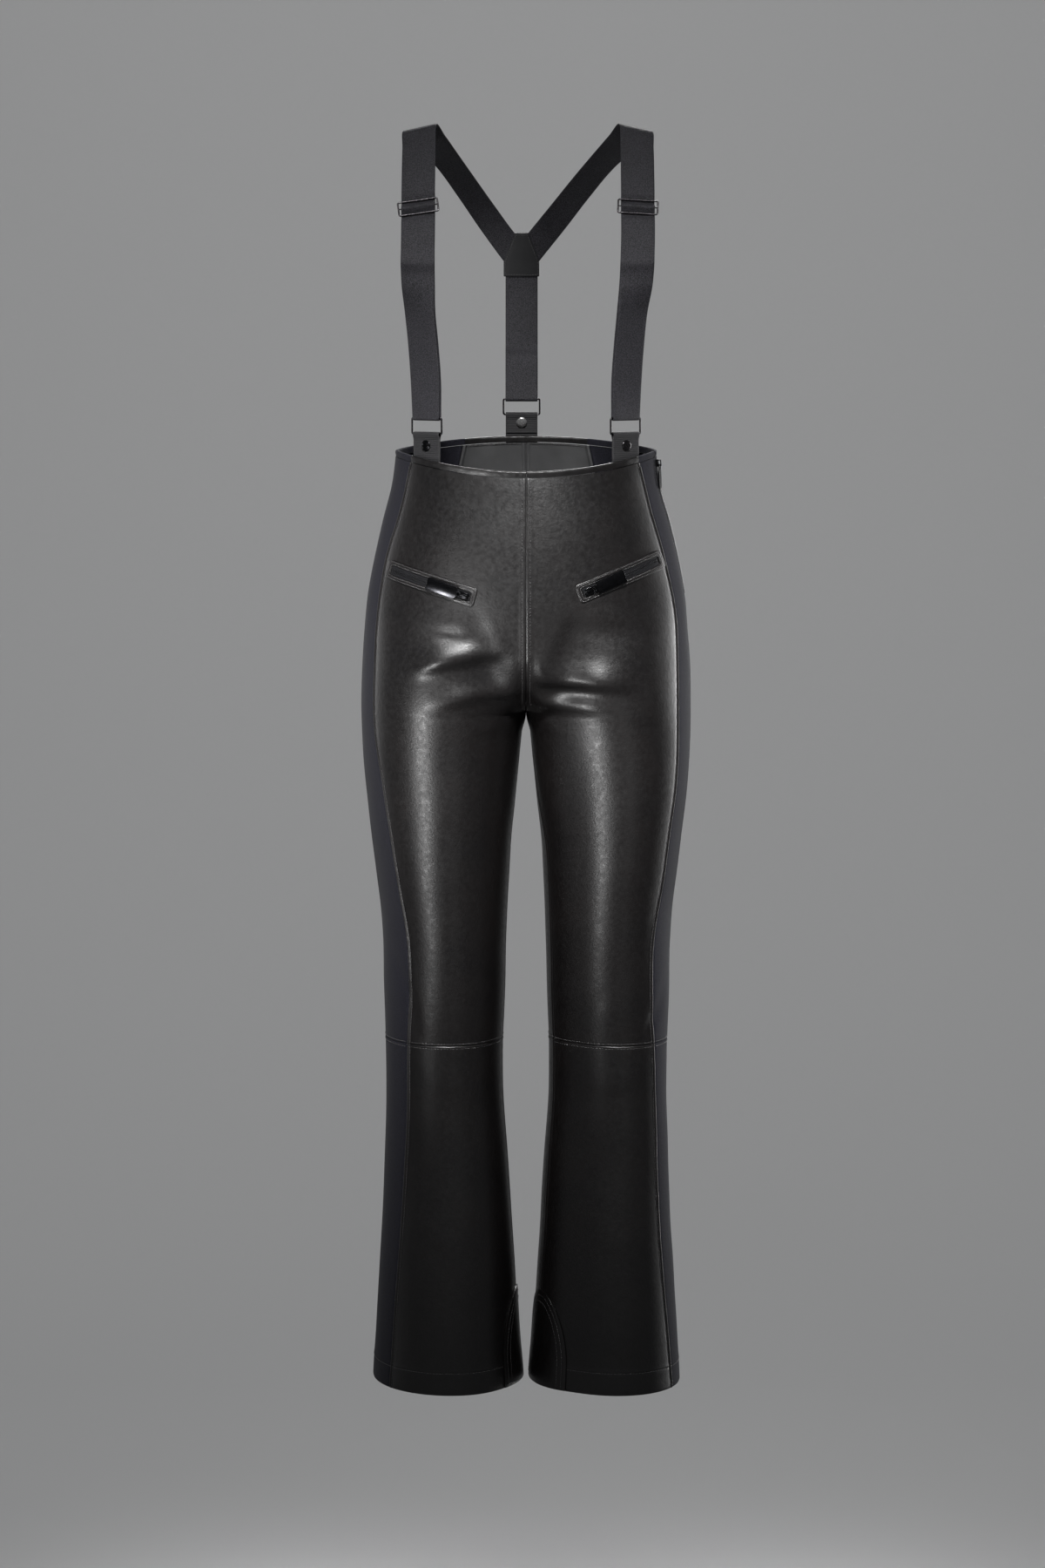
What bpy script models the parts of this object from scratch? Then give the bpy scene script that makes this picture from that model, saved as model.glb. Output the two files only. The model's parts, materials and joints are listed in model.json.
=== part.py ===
"""High-waisted, flared ski trousers with elastic braces, filled out with no wearer.

The origin is the middle of the waist opening, +Z is up, the front faces -Y and the
wearer's left is +X. Sizes are in millimetres and are turned into metres on the way out.
"""

import math

import bmesh
import bpy
import numpy as np
from mathutils import Matrix, Vector

MM = 0.001
RIGHT, LEFT = -1, 1
SIDE_NAMES = {RIGHT: "right", LEFT: "left"}

# ---- Driving sizes ---------------------------------------------------------------
WALL = 1.8  # cloth with its bonded backing
SEAM_GAP = 0.3  # neighbouring pieces stand this far apart
WAIST_EDGE_HEIGHT = 7.0
KNEE = -660.0
CROTCH = -291.0
HEM = -1055.0
HEM_TURN_UP = 27.0
FRONT_RISE_CURVE = 72.0  # height over which the front centre seam curves under
BACK_RISE_CURVE = 115.0
WAIST_DIP_FRONT = 20.0
WAIST_RISE_BACK = 12.0
WAIST_TILT_REACH = 110.0
LEG_TWIST = {RIGHT: 6.0, LEFT: 24.0}  # degrees by which each inseam turns to the front
LEG_TWIST_REACH = 180.0
SIDE_ZIP_LENGTH = 170.0
SIDE_ZIP_OPENING = 5.2
SIDE_ZIP_LEAN = 0.045  # share of the way round by which the zip starts before the side
ELASTIC_THICK = 1.4
WIRE_RADIUS = 1.1
RING_SIZE = (41.0, 17.5)  # wide, high, over the middle of the wire
ADJUSTER_SIZE = (45.0, 17.5)
STUD_RADIUS = 6.0


def table(columns, *rows):
    names = columns.split()
    return [dict(zip(names, row)) for row in rows]


# Distances from the middle: the leg's outer and inner edge as seen from the front, and how
# far the cloth stands forward and back.
FORM = table(
    "level outer gap front back",
    (0, 144, 0, 98, 98),
    (-42, 149.5, 0, 103, 102),
    (-81, 160, 0, 107, 107),
    (-120, 169, 0, 110, 113),
    (-159, 176, 0, 111, 119),
    (-198, 179.5, 0, 110, 124),
    (-237, 182.5, 0, 107, 127),
    (-276, 183.7, 0, 104, 126),
    (-315, 183, 5, 100, 118),
    (-354, 181.2, 8.5, 97, 108),
    (-394, 178, 12.2, 94, 99),
    (-433, 173.8, 16.2, 91, 92),
    (-473, 168.6, 18.6, 88, 86),
    (-513, 163.6, 20.6, 84, 81),
    (-552, 160.9, 22.1, 80, 77),
    (-592, 160.3, 22.8, 76, 74),
    (-632, 159.2, 24.2, 72, 72),
    (-672, 158.8, 25.6, 68, 71),
    (-713, 159, 25.4, 66, 72),
    (-753, 159.7, 23.7, 66, 74),
    (-793, 161, 20.8, 67, 77),
    (-834, 162.2, 18.3, 69, 80),
    (-874, 163.9, 15.8, 72, 83),
    (-915, 166.3, 13.2, 75, 86),
    (-956, 169, 10.6, 78.5, 88.5),
    (-997, 171.8, 8, 82, 91),
    (-1038, 174.6, 5, 86, 93),
    (-1055, 175.4, 4, 88, 94),
)

# Distances of the lengthwise seams from the middle.
SEAMS = table(
    "level front_right front_left back",
    (0, 126, 123, 70),
    (-60, 138, 137, 86),
    (-120, 156, 154, 103),
    (-180, 165, 166, 118),
    (-240, 168.5, 168.5, 127),
    (-300, 168.5, 168.5, 131),
    (-360, 160, 167, 131),
    (-420, 151.5, 160, 129),
    (-480, 142.5, 152.5, 126),
    (-540, 133, 143, 123.5),
    (-600, 131, 141.5, 122),
    (-660, 132.5, 143.5, 122),
    (-740, 134, 146, 124),
    (-820, 138.5, 149, 127),
    (-900, 143.5, 153, 131),
    (-980, 149.5, 159.5, 136),
    (-1055, 155, 166, 140),
)

# Pulled folds of the cloth. Each runs from one place to another, as distance from the
# middle and level; a negative height is a trough.
FOLDS = table(
    "side face from_x from_level to_x to_level height width",
    (RIGHT, "front", 122, -226, 52, -208, 4.5, 13),
    (RIGHT, "front", 118, -246, 44, -228, -3.0, 9),
    (RIGHT, "front", 100, -262, 20, -250, 2.5, 10),
    (RIGHT, "front", 104, -280, 12, -266, -3.0, 9),
    (RIGHT, "front", 136, -188, 74, -180, 1.8, 10),
    (LEFT, "front", 126, -216, 52, -226, 4.0, 15),
    (LEFT, "front", 110, -243, 24, -238, 3.0, 8),
    (LEFT, "front", 120, -258, 26, -253, -3.5, 9),
    (LEFT, "front", 92, -272, 20, -268, 3.0, 8),
    (LEFT, "front", 98, -288, 16, -283, -2.5, 8),
    (LEFT, "front", 128, -190, 46, -186, -2.0, 10),
    (RIGHT, "back", 120, -292, 34, -304, -4.0, 13),
    (RIGHT, "back", 110, -330, 40, -344, -2.5, 12),
    (LEFT, "back", 124, -296, 36, -306, -4.0, 13),
    (LEFT, "back", 114, -336, 44, -350, -2.5, 12),
    (RIGHT, "back", 130, -600, 50, -612, -2.5, 13),
    (RIGHT, "back", 128, -640, 56, -630, -2.0, 12),
    (LEFT, "back", 128, -606, 52, -616, -2.5, 13),
    (LEFT, "back", 132, -644, 58, -632, -2.0, 12),
)
FOLD_END = 16.0  # a fold fades over this length at its ends

UPPER_LEVELS = [
    -WAIST_EDGE_HEIGHT, -24, -50, -78, -106, -134, -158, -180, -197, -212, -225, -237, -248, -259, -268,
    -276, -283, -288, -291, -297, -308, -323, -342, -372, -412, -460, -510, -560, -596,
    -622, -644, -660,
]  # fmt: skip
LOWER_LEVELS = [-660, -700, -745, -795, -845, -895, -940, -980, -1010, -1028, -1029, -1055]

# ---- The colours and finishes ----------------------------------------------------
FINISHES = {
    "leather_cloth": ((0.012, 0.011, 0.011), 0.38, 0.0),
    "side_cloth": ((0.030, 0.030, 0.038), 0.85, 0.0),
    "elastic": ((0.028, 0.028, 0.032), 0.85, 0.0),
    "webbing": ((0.020, 0.020, 0.023), 0.80, 0.0),
    "yoke_leather": ((0.035, 0.035, 0.037), 0.60, 0.0),
    "zip_tape": ((0.014, 0.014, 0.016), 0.70, 0.0),
    "black_metal": ((0.020, 0.020, 0.022), 0.22, 0.9),
    "gunmetal": ((0.085, 0.085, 0.092), 0.32, 1.0),
    "silver": ((0.55, 0.55, 0.55), 0.30, 1.0),
}


def finish(name):
    """The named material, made the first time that it is asked for."""
    made = bpy.data.materials.get(name)
    if made:
        return made
    colour, roughness, metallic = FINISHES[name]
    made = bpy.data.materials.new(name)
    made.use_nodes = True
    shader = made.node_tree.nodes["Principled BSDF"]
    shader.inputs["Base Color"].default_value = (*colour, 1.0)
    shader.inputs["Roughness"].default_value = roughness
    shader.inputs["Metallic"].default_value = metallic
    made.diffuse_color = (*colour, 1.0)
    return made


# ---- The garment's form ----------------------------------------------------------
def smooth_track(places, values):
    """A function that runs smoothly through values given at rising places."""
    places = np.asarray(places, float)
    values = np.asarray(values, float)
    slopes = np.gradient(values, places, axis=0)

    def at(place):
        place = np.clip(place, places[0], places[-1])
        i = np.clip(np.searchsorted(places, place) - 1, 0, len(places) - 2)
        span = places[i + 1] - places[i]
        s = (place - places[i]) / span
        if values.ndim > 1:
            s = s[..., None]
            span = span[..., None]
        start = (1 + 2 * s) * (1 - s) ** 2 * values[i] + s * (1 - s) ** 2 * span * slopes[i]
        end = s * s * (3 - 2 * s) * values[i + 1] - s * s * (1 - s) * span * slopes[i + 1]
        return start + end

    return at


def column(rows, name):
    """One column of a table, as a smooth function of level."""
    rising = rows[::-1]
    return smooth_track([row["level"] for row in rising], [row[name] for row in rising])


OUTER = column(FORM, "outer")
GAP = column(FORM, "gap")
FRONT = column(FORM, "front")
BACK = column(FORM, "back")
SEAM = {name: column(SEAMS, name) for name in ("front_right", "front_left", "back")}


def smoothstep(share):
    share = np.clip(share, 0.0, 1.0)
    return share * share * (3 - 2 * share)


def twist(side, level):
    """How far the leg is turned at this level, in radians."""
    return math.radians(LEG_TWIST[side]) * smoothstep((CROTCH - level) / LEG_TWIST_REACH)


def section(level):
    """The middle and the reach of one leg's section, seen from the front."""
    gap = np.where(level >= CROTCH, SEAM_GAP / 2, np.maximum(GAP(level), SEAM_GAP / 2))
    outer = OUTER(level)
    return (outer + gap) / 2, (outer - gap) / 2


def turn_at(side, level, across, face):
    """The share of the way round, from the inseam by the front, of a place on one face."""
    middle, reach = section(level)
    angle = np.arccos(np.clip((across - middle) / reach, -1, 1))
    sign = -1 if face == "front" else 1
    return (sign * angle - twist(side, level) + math.pi) / (2 * math.pi)


def bare_form(side, level, turn):
    """The outer form with no folds: a hip section that becomes two legs at the crotch."""
    middle, reach = section(level)
    angle = math.pi * (2 * turn - 1) + twist(side, level)
    across = middle + reach * np.cos(angle)
    is_front = np.sin(angle) < 0
    rise = np.where(is_front, FRONT_RISE_CURVE, BACK_RISE_CURVE)
    legs = np.clip((CROTCH + rise - level) / rise, 0, 1) ** 2
    hips = 1 - (across / OUTER(level)) ** 2
    fullness = np.sqrt(np.maximum((1 - legs) * hips + legs * np.sin(angle) ** 2, 0))
    depth = np.where(is_front, -FRONT(level), BACK(level)) * fullness
    tilt = np.where(is_front, -WAIST_DIP_FRONT, WAIST_RISE_BACK) * fullness**2
    tilt = tilt * np.clip(1 + level / WAIST_TILT_REACH, 0, 1) ** 2
    return np.stack([side * across, depth, level + tilt], -1)


def outward(side, level, turn):
    """Unit vectors out of the bare form."""
    turn_step = 0.002
    level_step = 0.5
    turn = np.clip(turn, turn_step, 1 - turn_step)
    around = bare_form(side, level, turn + turn_step) - bare_form(side, level, turn - turn_step)
    down = bare_form(side, level - level_step, turn) - bare_form(side, level + level_step, turn)
    normal = side * np.cross(down, around)
    return normal / np.linalg.norm(normal, axis=-1, keepdims=True)


def fold_height(side, points):
    """How far the folds raise the cloth at these points of the bare form."""
    across = points[..., 0] * side
    level = points[..., 2]
    height = np.zeros(across.shape)
    for fold in FOLDS:
        if fold["side"] != side:
            continue
        start = np.array([fold["from_x"], fold["from_level"]], float)
        run = np.array([fold["to_x"], fold["to_level"]], float) - start
        length = np.hypot(*run)
        along = ((across - start[0]) * run[0] + (level - start[1]) * run[1]) / length
        aside = ((across - start[0]) * run[1] - (level - start[1]) * run[0]) / length
        ends = smoothstep((along + FOLD_END) / (2 * FOLD_END))
        ends = ends * smoothstep((length + FOLD_END - along) / (2 * FOLD_END))
        on_face = points[..., 1] < 0 if fold["face"] == "front" else points[..., 1] > 0
        height += on_face * ends * fold["height"] * np.exp(-((aside / fold["width"]) ** 2))
    clear_of_middle = smoothstep((across - 3) / 14)
    clear_of_side = smoothstep(np.abs(points[..., 1]) / 50)
    return height * clear_of_middle * clear_of_side


def cloth(side, level, turn, out=0.0):
    """Points of the outer face of the cloth, moved out by a distance."""
    level, turn = np.broadcast_arrays(np.asarray(level, float), np.asarray(turn, float))
    points = bare_form(side, level, turn)
    raised = fold_height(side, points) + out
    return points + outward(side, level, turn) * raised[..., None]


def turn_of_length(side, level, turn, length):
    """The change of turn that moves a point this far round the cloth."""
    step = 0.001
    moved = bare_form(side, level, turn + step) - bare_form(side, level, turn - step)
    return 2 * step * length / np.linalg.norm(moved, axis=-1)


# ---- Solids from grids of points -------------------------------------------------
def add_object(name, mesh, finish_name):
    made = bpy.data.objects.new(name, mesh)
    made.data.materials.append(finish(finish_name))
    GARMENT.objects.link(made)
    return made


def closed_mesh(name, points, faces):
    """A mesh in metres with its faces turned outwards."""
    mesh = bpy.data.meshes.new(name)
    mesh.from_pydata((np.asarray(points) * MM).tolist(), [], faces)
    shape = bmesh.new()
    shape.from_mesh(mesh)
    bmesh.ops.recalc_face_normals(shape, faces=shape.faces)
    shape.to_mesh(mesh)
    shape.free()
    mesh.shade_smooth()
    mesh.set_sharp_from_angle(angle=math.radians(40))
    return mesh


def strip(first, second):
    """Quads between two rows of point numbers."""
    return [
        (int(a), int(b), int(d), int(c))
        for a, b, c, d in zip(first, first[1:], second, second[1:])
    ]


def wall_between(name, outer, inner, finish_name):
    """A closed wall between two grids of points of the same size."""
    rows, columns = outer.shape[:2]
    near = np.arange(rows * columns).reshape(rows, columns)
    far = near + rows * columns
    faces = []
    for grid in (near, far):
        for upper, lower in zip(grid, grid[1:]):
            faces += strip(upper, lower)
    for edge, other in (
        (near[0], far[0]),
        (near[-1], far[-1]),
        (near[:, 0], far[:, 0]),
        (near[:, -1], far[:, -1]),
    ):
        faces += strip(edge, other)
    points = np.concatenate([outer.reshape(-1, 3), inner.reshape(-1, 3)])
    return add_object(name, closed_mesh(name, points, faces), finish_name)


def bar_through(name, sections, finish_name, is_loop=False):
    """A closed solid through sections of the same number of points."""
    count, corners = sections.shape[:2]
    number = np.arange(count * corners).reshape(count, corners)
    number = np.concatenate([number, number[:, :1]], axis=1)
    faces = []
    for first, second in zip(number, number[1:]):
        faces += strip(first, second)
    if is_loop:
        faces += strip(number[-1], number[0])
    else:
        faces += [tuple(int(n) for n in end[:-1]) for end in (number[0], number[-1])]
    points = sections.reshape(-1, 3)
    return add_object(name, closed_mesh(name, points, faces), finish_name)


def flat_outline(name, matrix, rings, half_thick, rounding, finish_name):
    """A flat piece with round edges, from an outline and any holes, in its own XY plane."""
    outline = bpy.data.curves.new(name, "CURVE")
    outline.dimensions = "2D"
    outline.fill_mode = "BOTH"
    outline.extrude = (half_thick - rounding) * MM
    outline.bevel_depth = rounding * MM
    outline.bevel_resolution = 1
    add_rings(outline, rings)
    outline.materials.append(finish(finish_name))
    made = bpy.data.objects.new(name, outline)
    GARMENT.objects.link(made)
    made.matrix_world = matrix
    return made


def add_rings(curve, rings):
    """Closed straight-sided splines through rings of (x, y) points."""
    for ring in rings:
        spline = curve.splines.new("POLY")
        spline.points.add(len(ring) - 1)
        for point, (x, y) in zip(spline.points, ring):
            point.co = (x * MM, y * MM, 0, 1)
        spline.use_cyclic_u = True


# ---- The cut panels --------------------------------------------------------------
def wall_at(level):
    """The cloth's thickness, doubled where the hem is turned up inside."""
    return np.where(level < HEM + HEM_TURN_UP - 0.5, 2 * WALL, WALL)


def open_edge(grid, axis, place, share):
    """Draws one edge of a grid back from its seam by half the gap."""
    step = 1 if place == 0 else -1
    edge = np.take(grid, place, axis=axis)
    toward = np.take(grid, place + step, axis=axis) - edge
    toward /= np.linalg.norm(toward, axis=-1, keepdims=True)
    moved = edge + toward * (SEAM_GAP / 2) * share[..., None]
    if axis == 0:
        grid[place] = moved
    else:
        grid[:, place] = moved


def level_below_waist(side, turn, drop):
    """The level of the form at which its cloth is this far below the tilted waist."""
    wanted = bare_form(side, 0.0, turn)[..., 2] - drop
    level = np.full(turn.shape, -drop)
    for _ in range(8):
        level = level + wanted - bare_form(side, level, turn)[..., 2]
    return level


def panel(name, side, levels, start, end, columns, finish_name):
    """One cut panel, from one seam round to the next, as functions of level."""
    level = np.array(levels, float)
    first = start(level)[:, None]
    last = end(level)[:, None]
    turn = first + (last - first) * np.linspace(0, 1, columns)
    level = np.repeat(level[:, None], columns, axis=1)
    if levels[0] > KNEE:
        level[0] = level_below_waist(side, turn[0], WAIST_EDGE_HEIGHT + SEAM_GAP + 0.2)
    outer = cloth(side, level, turn)
    inner = cloth(side, level, turn, -wall_at(level))
    below_crotch = (level[:, 0] <= CROTCH).astype(float)
    everywhere = np.ones(len(level))
    for grid in (outer, inner):
        open_edge(grid, 1, 0, below_crotch if turn[0, 0] < 0.01 else everywhere)
        open_edge(grid, 1, -1, below_crotch if turn[0, -1] > 0.99 else everywhere)
        if levels[0] == KNEE:
            open_edge(grid, 0, 0, np.ones(columns))
        if levels[-1] == KNEE:
            open_edge(grid, 0, -1, np.ones(columns))
    return wall_between(name, outer, inner, finish_name)


def inseam_start(level):
    return np.zeros(level.shape)


def inseam_end(level):
    return np.ones(level.shape)


def front_seam(side):
    name = "front_" + SIDE_NAMES[side]
    return lambda level: turn_at(side, level, SEAM[name](level), "front")


def back_seam(side):
    return lambda level: turn_at(side, level, SEAM["back"](level), "back")


def zip_seam(level):
    """The seam in the left side panel, which ends up right at the side."""
    lean = SIDE_ZIP_LEAN * np.clip(1 + level / SIDE_ZIP_LENGTH, 0, 1)
    return 0.5 - lean - twist(LEFT, level) / (2 * math.pi)


def zip_lip(sign):
    """One side of the zip seam, drawn back where the zip shows between the cloth."""

    def at(level):
        seam = zip_seam(level)
        is_zip = smoothstep((level + SIDE_ZIP_LENGTH) / 8)
        half = is_zip * (SIDE_ZIP_OPENING / 2)
        return seam + sign * turn_of_length(LEFT, level, seam, half)

    return at


def make_panels():
    for side in (RIGHT, LEFT):
        which = SIDE_NAMES[side]
        front = front_seam(side)
        back = back_seam(side)
        for part, levels, columns in (("upper", UPPER_LEVELS, 10), ("lower", LOWER_LEVELS, 10)):
            panel(f"front_{which}_{part}", side, levels, inseam_start, front, columns, "leather_cloth")
            panel(f"back_{which}_{part}", side, levels, back, inseam_end, columns - 1, "leather_cloth")
        panel(f"side_{which}_lower", side, LOWER_LEVELS, front, back, 5, "side_cloth")
    panel("side_right_upper", RIGHT, UPPER_LEVELS, front_seam(RIGHT), back_seam(RIGHT), 6, "side_cloth")
    panel("side_left_front_upper", LEFT, UPPER_LEVELS, front_seam(LEFT), zip_lip(-1), 3, "side_cloth")
    panel("side_left_back_upper", LEFT, UPPER_LEVELS, zip_lip(1), back_seam(LEFT), 4, "side_cloth")


# ---- The rolled waist edge -------------------------------------------------------
EDGE_THICK = 3.0
EDGE_PROUD = 0.6  # how far the roll stands out past the panels
EDGE_PROFILE = table(
    "out level",
    (EDGE_PROUD, -WAIST_EDGE_HEIGHT),
    (EDGE_PROUD, -1.6),
    (EDGE_PROUD - 1.0, 0.0),
    (EDGE_PROUD - 2.0, 0.0),
    (EDGE_PROUD - EDGE_THICK, -1.6),
    (EDGE_PROUD - EDGE_THICK, -WAIST_EDGE_HEIGHT),
)


def edge_sections(places):
    """Sections of the roll at (side, turn) places."""
    sections = []
    for side, turn in places:
        waist_point = cloth(side, 0.0, turn)
        out = outward(side, np.array(-1.0), np.array(turn))
        out = out * (1, 1, 0)
        out = out / np.linalg.norm(out)
        sections.append([
            waist_point + out * row["out"] + np.array([0, 0, row["level"]]) for row in EDGE_PROFILE
        ])
    return np.array(sections)


def waist_edge(name, places, finish_name):
    sections = edge_sections(places)
    for end, step in ((0, 1), (-1, -1)):
        toward = sections[end + step] - sections[end]
        toward = toward / np.linalg.norm(toward, axis=-1, keepdims=True)
        sections[end] += toward * SEAM_GAP / 2
    bar_through(name, sections, finish_name)


def make_waist_edges():
    top = np.array(0.0)
    front = {side: float(front_seam(side)(top)) for side in (RIGHT, LEFT)}
    back = {side: float(back_seam(side)(top)) for side in (RIGHT, LEFT)}
    across_front = [(RIGHT, t) for t in np.linspace(front[RIGHT], 0.03, 11)]
    across_front += [(LEFT, t) for t in np.linspace(0.03, front[LEFT], 11)]
    across_back = [(RIGHT, t) for t in np.linspace(back[RIGHT], 0.97, 7)]
    across_back += [(LEFT, t) for t in np.linspace(0.97, back[LEFT], 7)]
    waist_edge("waist_edge_front", across_front, "leather_cloth")
    waist_edge("waist_edge_back", across_back, "leather_cloth")
    around_right = np.linspace(front[RIGHT], back[RIGHT], 10)
    waist_edge("waist_edge_right", [(RIGHT, t) for t in around_right], "side_cloth")
    before_zip = np.linspace(front[LEFT], float(zip_lip(-1)(top)), 4)
    below_top = np.array(-WAIST_EDGE_HEIGHT - 1.0)  # the zip leans back as it goes down
    after_zip = np.linspace(float(zip_lip(1)(below_top)), back[LEFT], 8)
    waist_edge("waist_edge_left_front", [(LEFT, t) for t in before_zip], "side_cloth")
    waist_edge("waist_edge_left_back", [(LEFT, t) for t in after_zip], "side_cloth")


# ---- Scuff guards at the inner ankles --------------------------------------------
GUARD_TOP = -948.0
GUARD_WIDEST = -1030.0
GUARD_HALF_TURN = 34 / 360
GUARD_THICK = 1.1
GUARD_CLEAR = 0.65


def make_guards():
    share_up = np.sin(np.linspace(0, math.pi / 2, 8))[:-1]
    levels = [HEM + 0.4] + list(GUARD_WIDEST + (GUARD_TOP - GUARD_WIDEST) * share_up) + [GUARD_TOP]
    for side in (RIGHT, LEFT):
        level = np.array(levels)[:, None]
        arch = np.clip((level - GUARD_WIDEST) / (GUARD_TOP - GUARD_WIDEST), 0, 1)
        half = GUARD_HALF_TURN * np.sqrt(np.maximum(1 - arch**2, 0.006))
        turn = half * np.linspace(-1, 1, 9)
        low = cloth_past_inseam(side, level, turn, GUARD_CLEAR)
        high = cloth_past_inseam(side, level, turn, GUARD_CLEAR + GUARD_THICK)
        wall_between(f"scuff_guard_{SIDE_NAMES[side]}", high, low, "leather_cloth")


def cloth_past_inseam(side, level, turn, out):
    """The cloth's outer face where a place may lie on either side of the inseam."""
    return cloth(side, level, np.mod(turn, 1.0), out)


# ---- Zips ------------------------------------------------------------------------
POCKETS = table(
    "side inner_x inner_level outer_x outer_level",
    (RIGHT, 55, -157.5, 153, -128),
    (LEFT, 56, -153.5, 150, -117),
)
POCKET_HEIGHT = 21.0
POCKET_BORDER = 5.4
FRAME_CLEAR = 0.5
FRAME_THICK = 1.1
TAPE_THICK = 0.7
COIL_HEIGHT = 0.8
SLIDER_CLEAR = 0.4
TAPE_TOP = FRAME_CLEAR + TAPE_THICK
SLIDER_BASE = TAPE_TOP + COIL_HEIGHT + SLIDER_CLEAR
SLIDER_HEIGHT = 2.0
HINGE_HEIGHT = SLIDER_HEIGHT + 1.3  # the pull's hinge above the slider's base
HINGE_INSET = 2.8  # and this far from its end


def on_pocket(pocket, along, up, out):
    """A place on a pocket: millimetres along its mouth from the inner end, and up."""
    start = np.array([pocket["inner_x"], pocket["inner_level"]], float)
    run = np.array([pocket["outer_x"], pocket["outer_level"]], float) - start
    run = run / np.hypot(*run)
    across = start[0] + run[0] * along - run[1] * up
    level = start[1] + run[1] * along + run[0] * up
    turn = turn_at(pocket["side"], level, across, "front")
    return cloth(pocket["side"], level, turn, out)


def pocket_length(pocket):
    rise = pocket["outer_level"] - pocket["inner_level"]
    return math.hypot(pocket["outer_x"] - pocket["inner_x"], rise)


def rounded_outline(length, height, corner, straight_steps):
    """Points round a rectangle with round corners, whose ends are at 0 and length."""
    quarter = np.radians(np.linspace(0, 90, 4))
    corners = (
        (length - corner, height / 2 - corner, 0),
        (corner, height / 2 - corner, 90),
        (corner, corner - height / 2, 180),
        (length - corner, corner - height / 2, 270),
    )
    points = []
    for x, y, turned in corners:
        angle = quarter + math.radians(turned)
        points += list(zip(x + corner * np.cos(angle), y + corner * np.sin(angle)))
        if turned in (0, 180):
            across = length - 2 * corner
            shares = np.arange(1, straight_steps) / straight_steps
            direction = -1 if turned == 0 else 1
            end_y = y + corner * math.sin(angle[-1])
            points += [(x + direction * across * share, end_y) for share in shares]
    return np.array(points)


def make_pockets():
    for pocket in POCKETS:
        which = SIDE_NAMES[pocket["side"]]
        length = pocket_length(pocket)
        outside = rounded_outline(length, POCKET_HEIGHT, 4.0, 9)
        inside = rounded_outline(length - 2 * POCKET_BORDER, POCKET_HEIGHT - 2 * POCKET_BORDER, 1.0, 9)
        inside[:, 0] += POCKET_BORDER
        corners = []
        for ring, out in (
            (outside, FRAME_CLEAR),
            (outside, FRAME_CLEAR + FRAME_THICK * 0.7),
            ((outside + inside) / 2, FRAME_CLEAR + FRAME_THICK),
            (inside, FRAME_CLEAR + FRAME_THICK * 0.7),
            (inside, FRAME_CLEAR),
        ):
            corners.append(on_pocket(pocket, ring[:, 0], ring[:, 1], out))
        bar_through(f"pocket_frame_{which}", np.stack(corners, axis=1), "leather_cloth", is_loop=True)

        reach = POCKET_BORDER + 0.8
        along = np.linspace(reach, length - reach, 17)
        half = POCKET_HEIGHT / 2 - POCKET_BORDER - SEAM_GAP
        profile = table(
            "up out",
            (-half, FRAME_CLEAR),
            (half, FRAME_CLEAR),
            (half, TAPE_TOP),
            (1.6, TAPE_TOP),
            (1.2, TAPE_TOP + COIL_HEIGHT),
            (-1.2, TAPE_TOP + COIL_HEIGHT),
            (-1.6, TAPE_TOP),
            (-half, TAPE_TOP),
        )
        rows = [on_pocket(pocket, along, np.full(17, row["up"]), row["out"]) for row in profile]
        bar_through(f"pocket_zip_{which}", np.stack(rows, axis=1), "zip_tape")


def frame_matrix(origin, along, out):
    """Places an object: X runs along, Z points out, both at right angles."""
    out = out / np.linalg.norm(out)
    along = along - out * np.dot(along, out)
    along = along / np.linalg.norm(along)
    across = np.cross(out, along)
    return Matrix.Translation(Vector(origin) * MM) @ Matrix(
        np.stack([along, across, out], axis=1).tolist()
    ).to_4x4()


def slider(name, matrix, length, width):
    """A zip slider, X along the zip, with the bridge that carries its pull."""
    x, y = length / 2, width / 2
    body = np.array([
        [(x, -y, z), (x, y, z), (-x, y * 0.7, z), (-x, -y * 0.7, z)]
        for z in (0.0, SLIDER_HEIGHT)
    ])
    made = bar_through(name, body, "black_metal")
    foot, top, post = length / 2 - 0.5, HINGE_HEIGHT + 2.1, 1.2
    arch = [
        (-foot, 1.2), (post - foot, 1.2), (post - foot, top - 1.0), (foot - post, top - 1.0),
        (foot - post, 1.2), (foot, 1.2), (foot, top - 0.7), (foot - 0.7, top), (0.7 - foot, top),
        (-foot, top - 0.7),
    ]  # fmt: skip
    bridge = np.array([[(a, b, c) for a, c in arch] for b in (-1.2, 1.2)])
    helper = bpy.data.objects.new(name + "_bridge", closed_mesh(name + "_bridge", bridge.reshape(-1, 3), [
        *[(i, (i + 1) % 10, (i + 1) % 10 + 10, i + 10) for i in range(10)],
        tuple(range(10)), tuple(range(10, 20)),
    ]))
    helper.hide_render = True
    helper.display_type = "WIRE"
    CUTTERS.objects.link(helper)
    joined = made.modifiers.new("bridge", "BOOLEAN")
    joined.operation = "UNION"
    joined.object = helper
    for placed in (made, helper):
        placed.matrix_world = matrix
    return made


def hinge_on(matrix, slider_size):
    """Where a slider's pull turns."""
    ahead = slider_size[0] / 2 - HINGE_INSET
    return matrix @ Matrix.Translation((ahead * MM, 0, HINGE_HEIGHT * MM))


PULL_THICK = 1.4
PULL_ROUNDING = 0.2
EYE_WALL = 0.6  # half of the bar that the pull turns on
EYE_HALF = 3.4
EYE_SLOT = (5.6, 1.9)  # how far along the slot runs, and its half width


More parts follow.
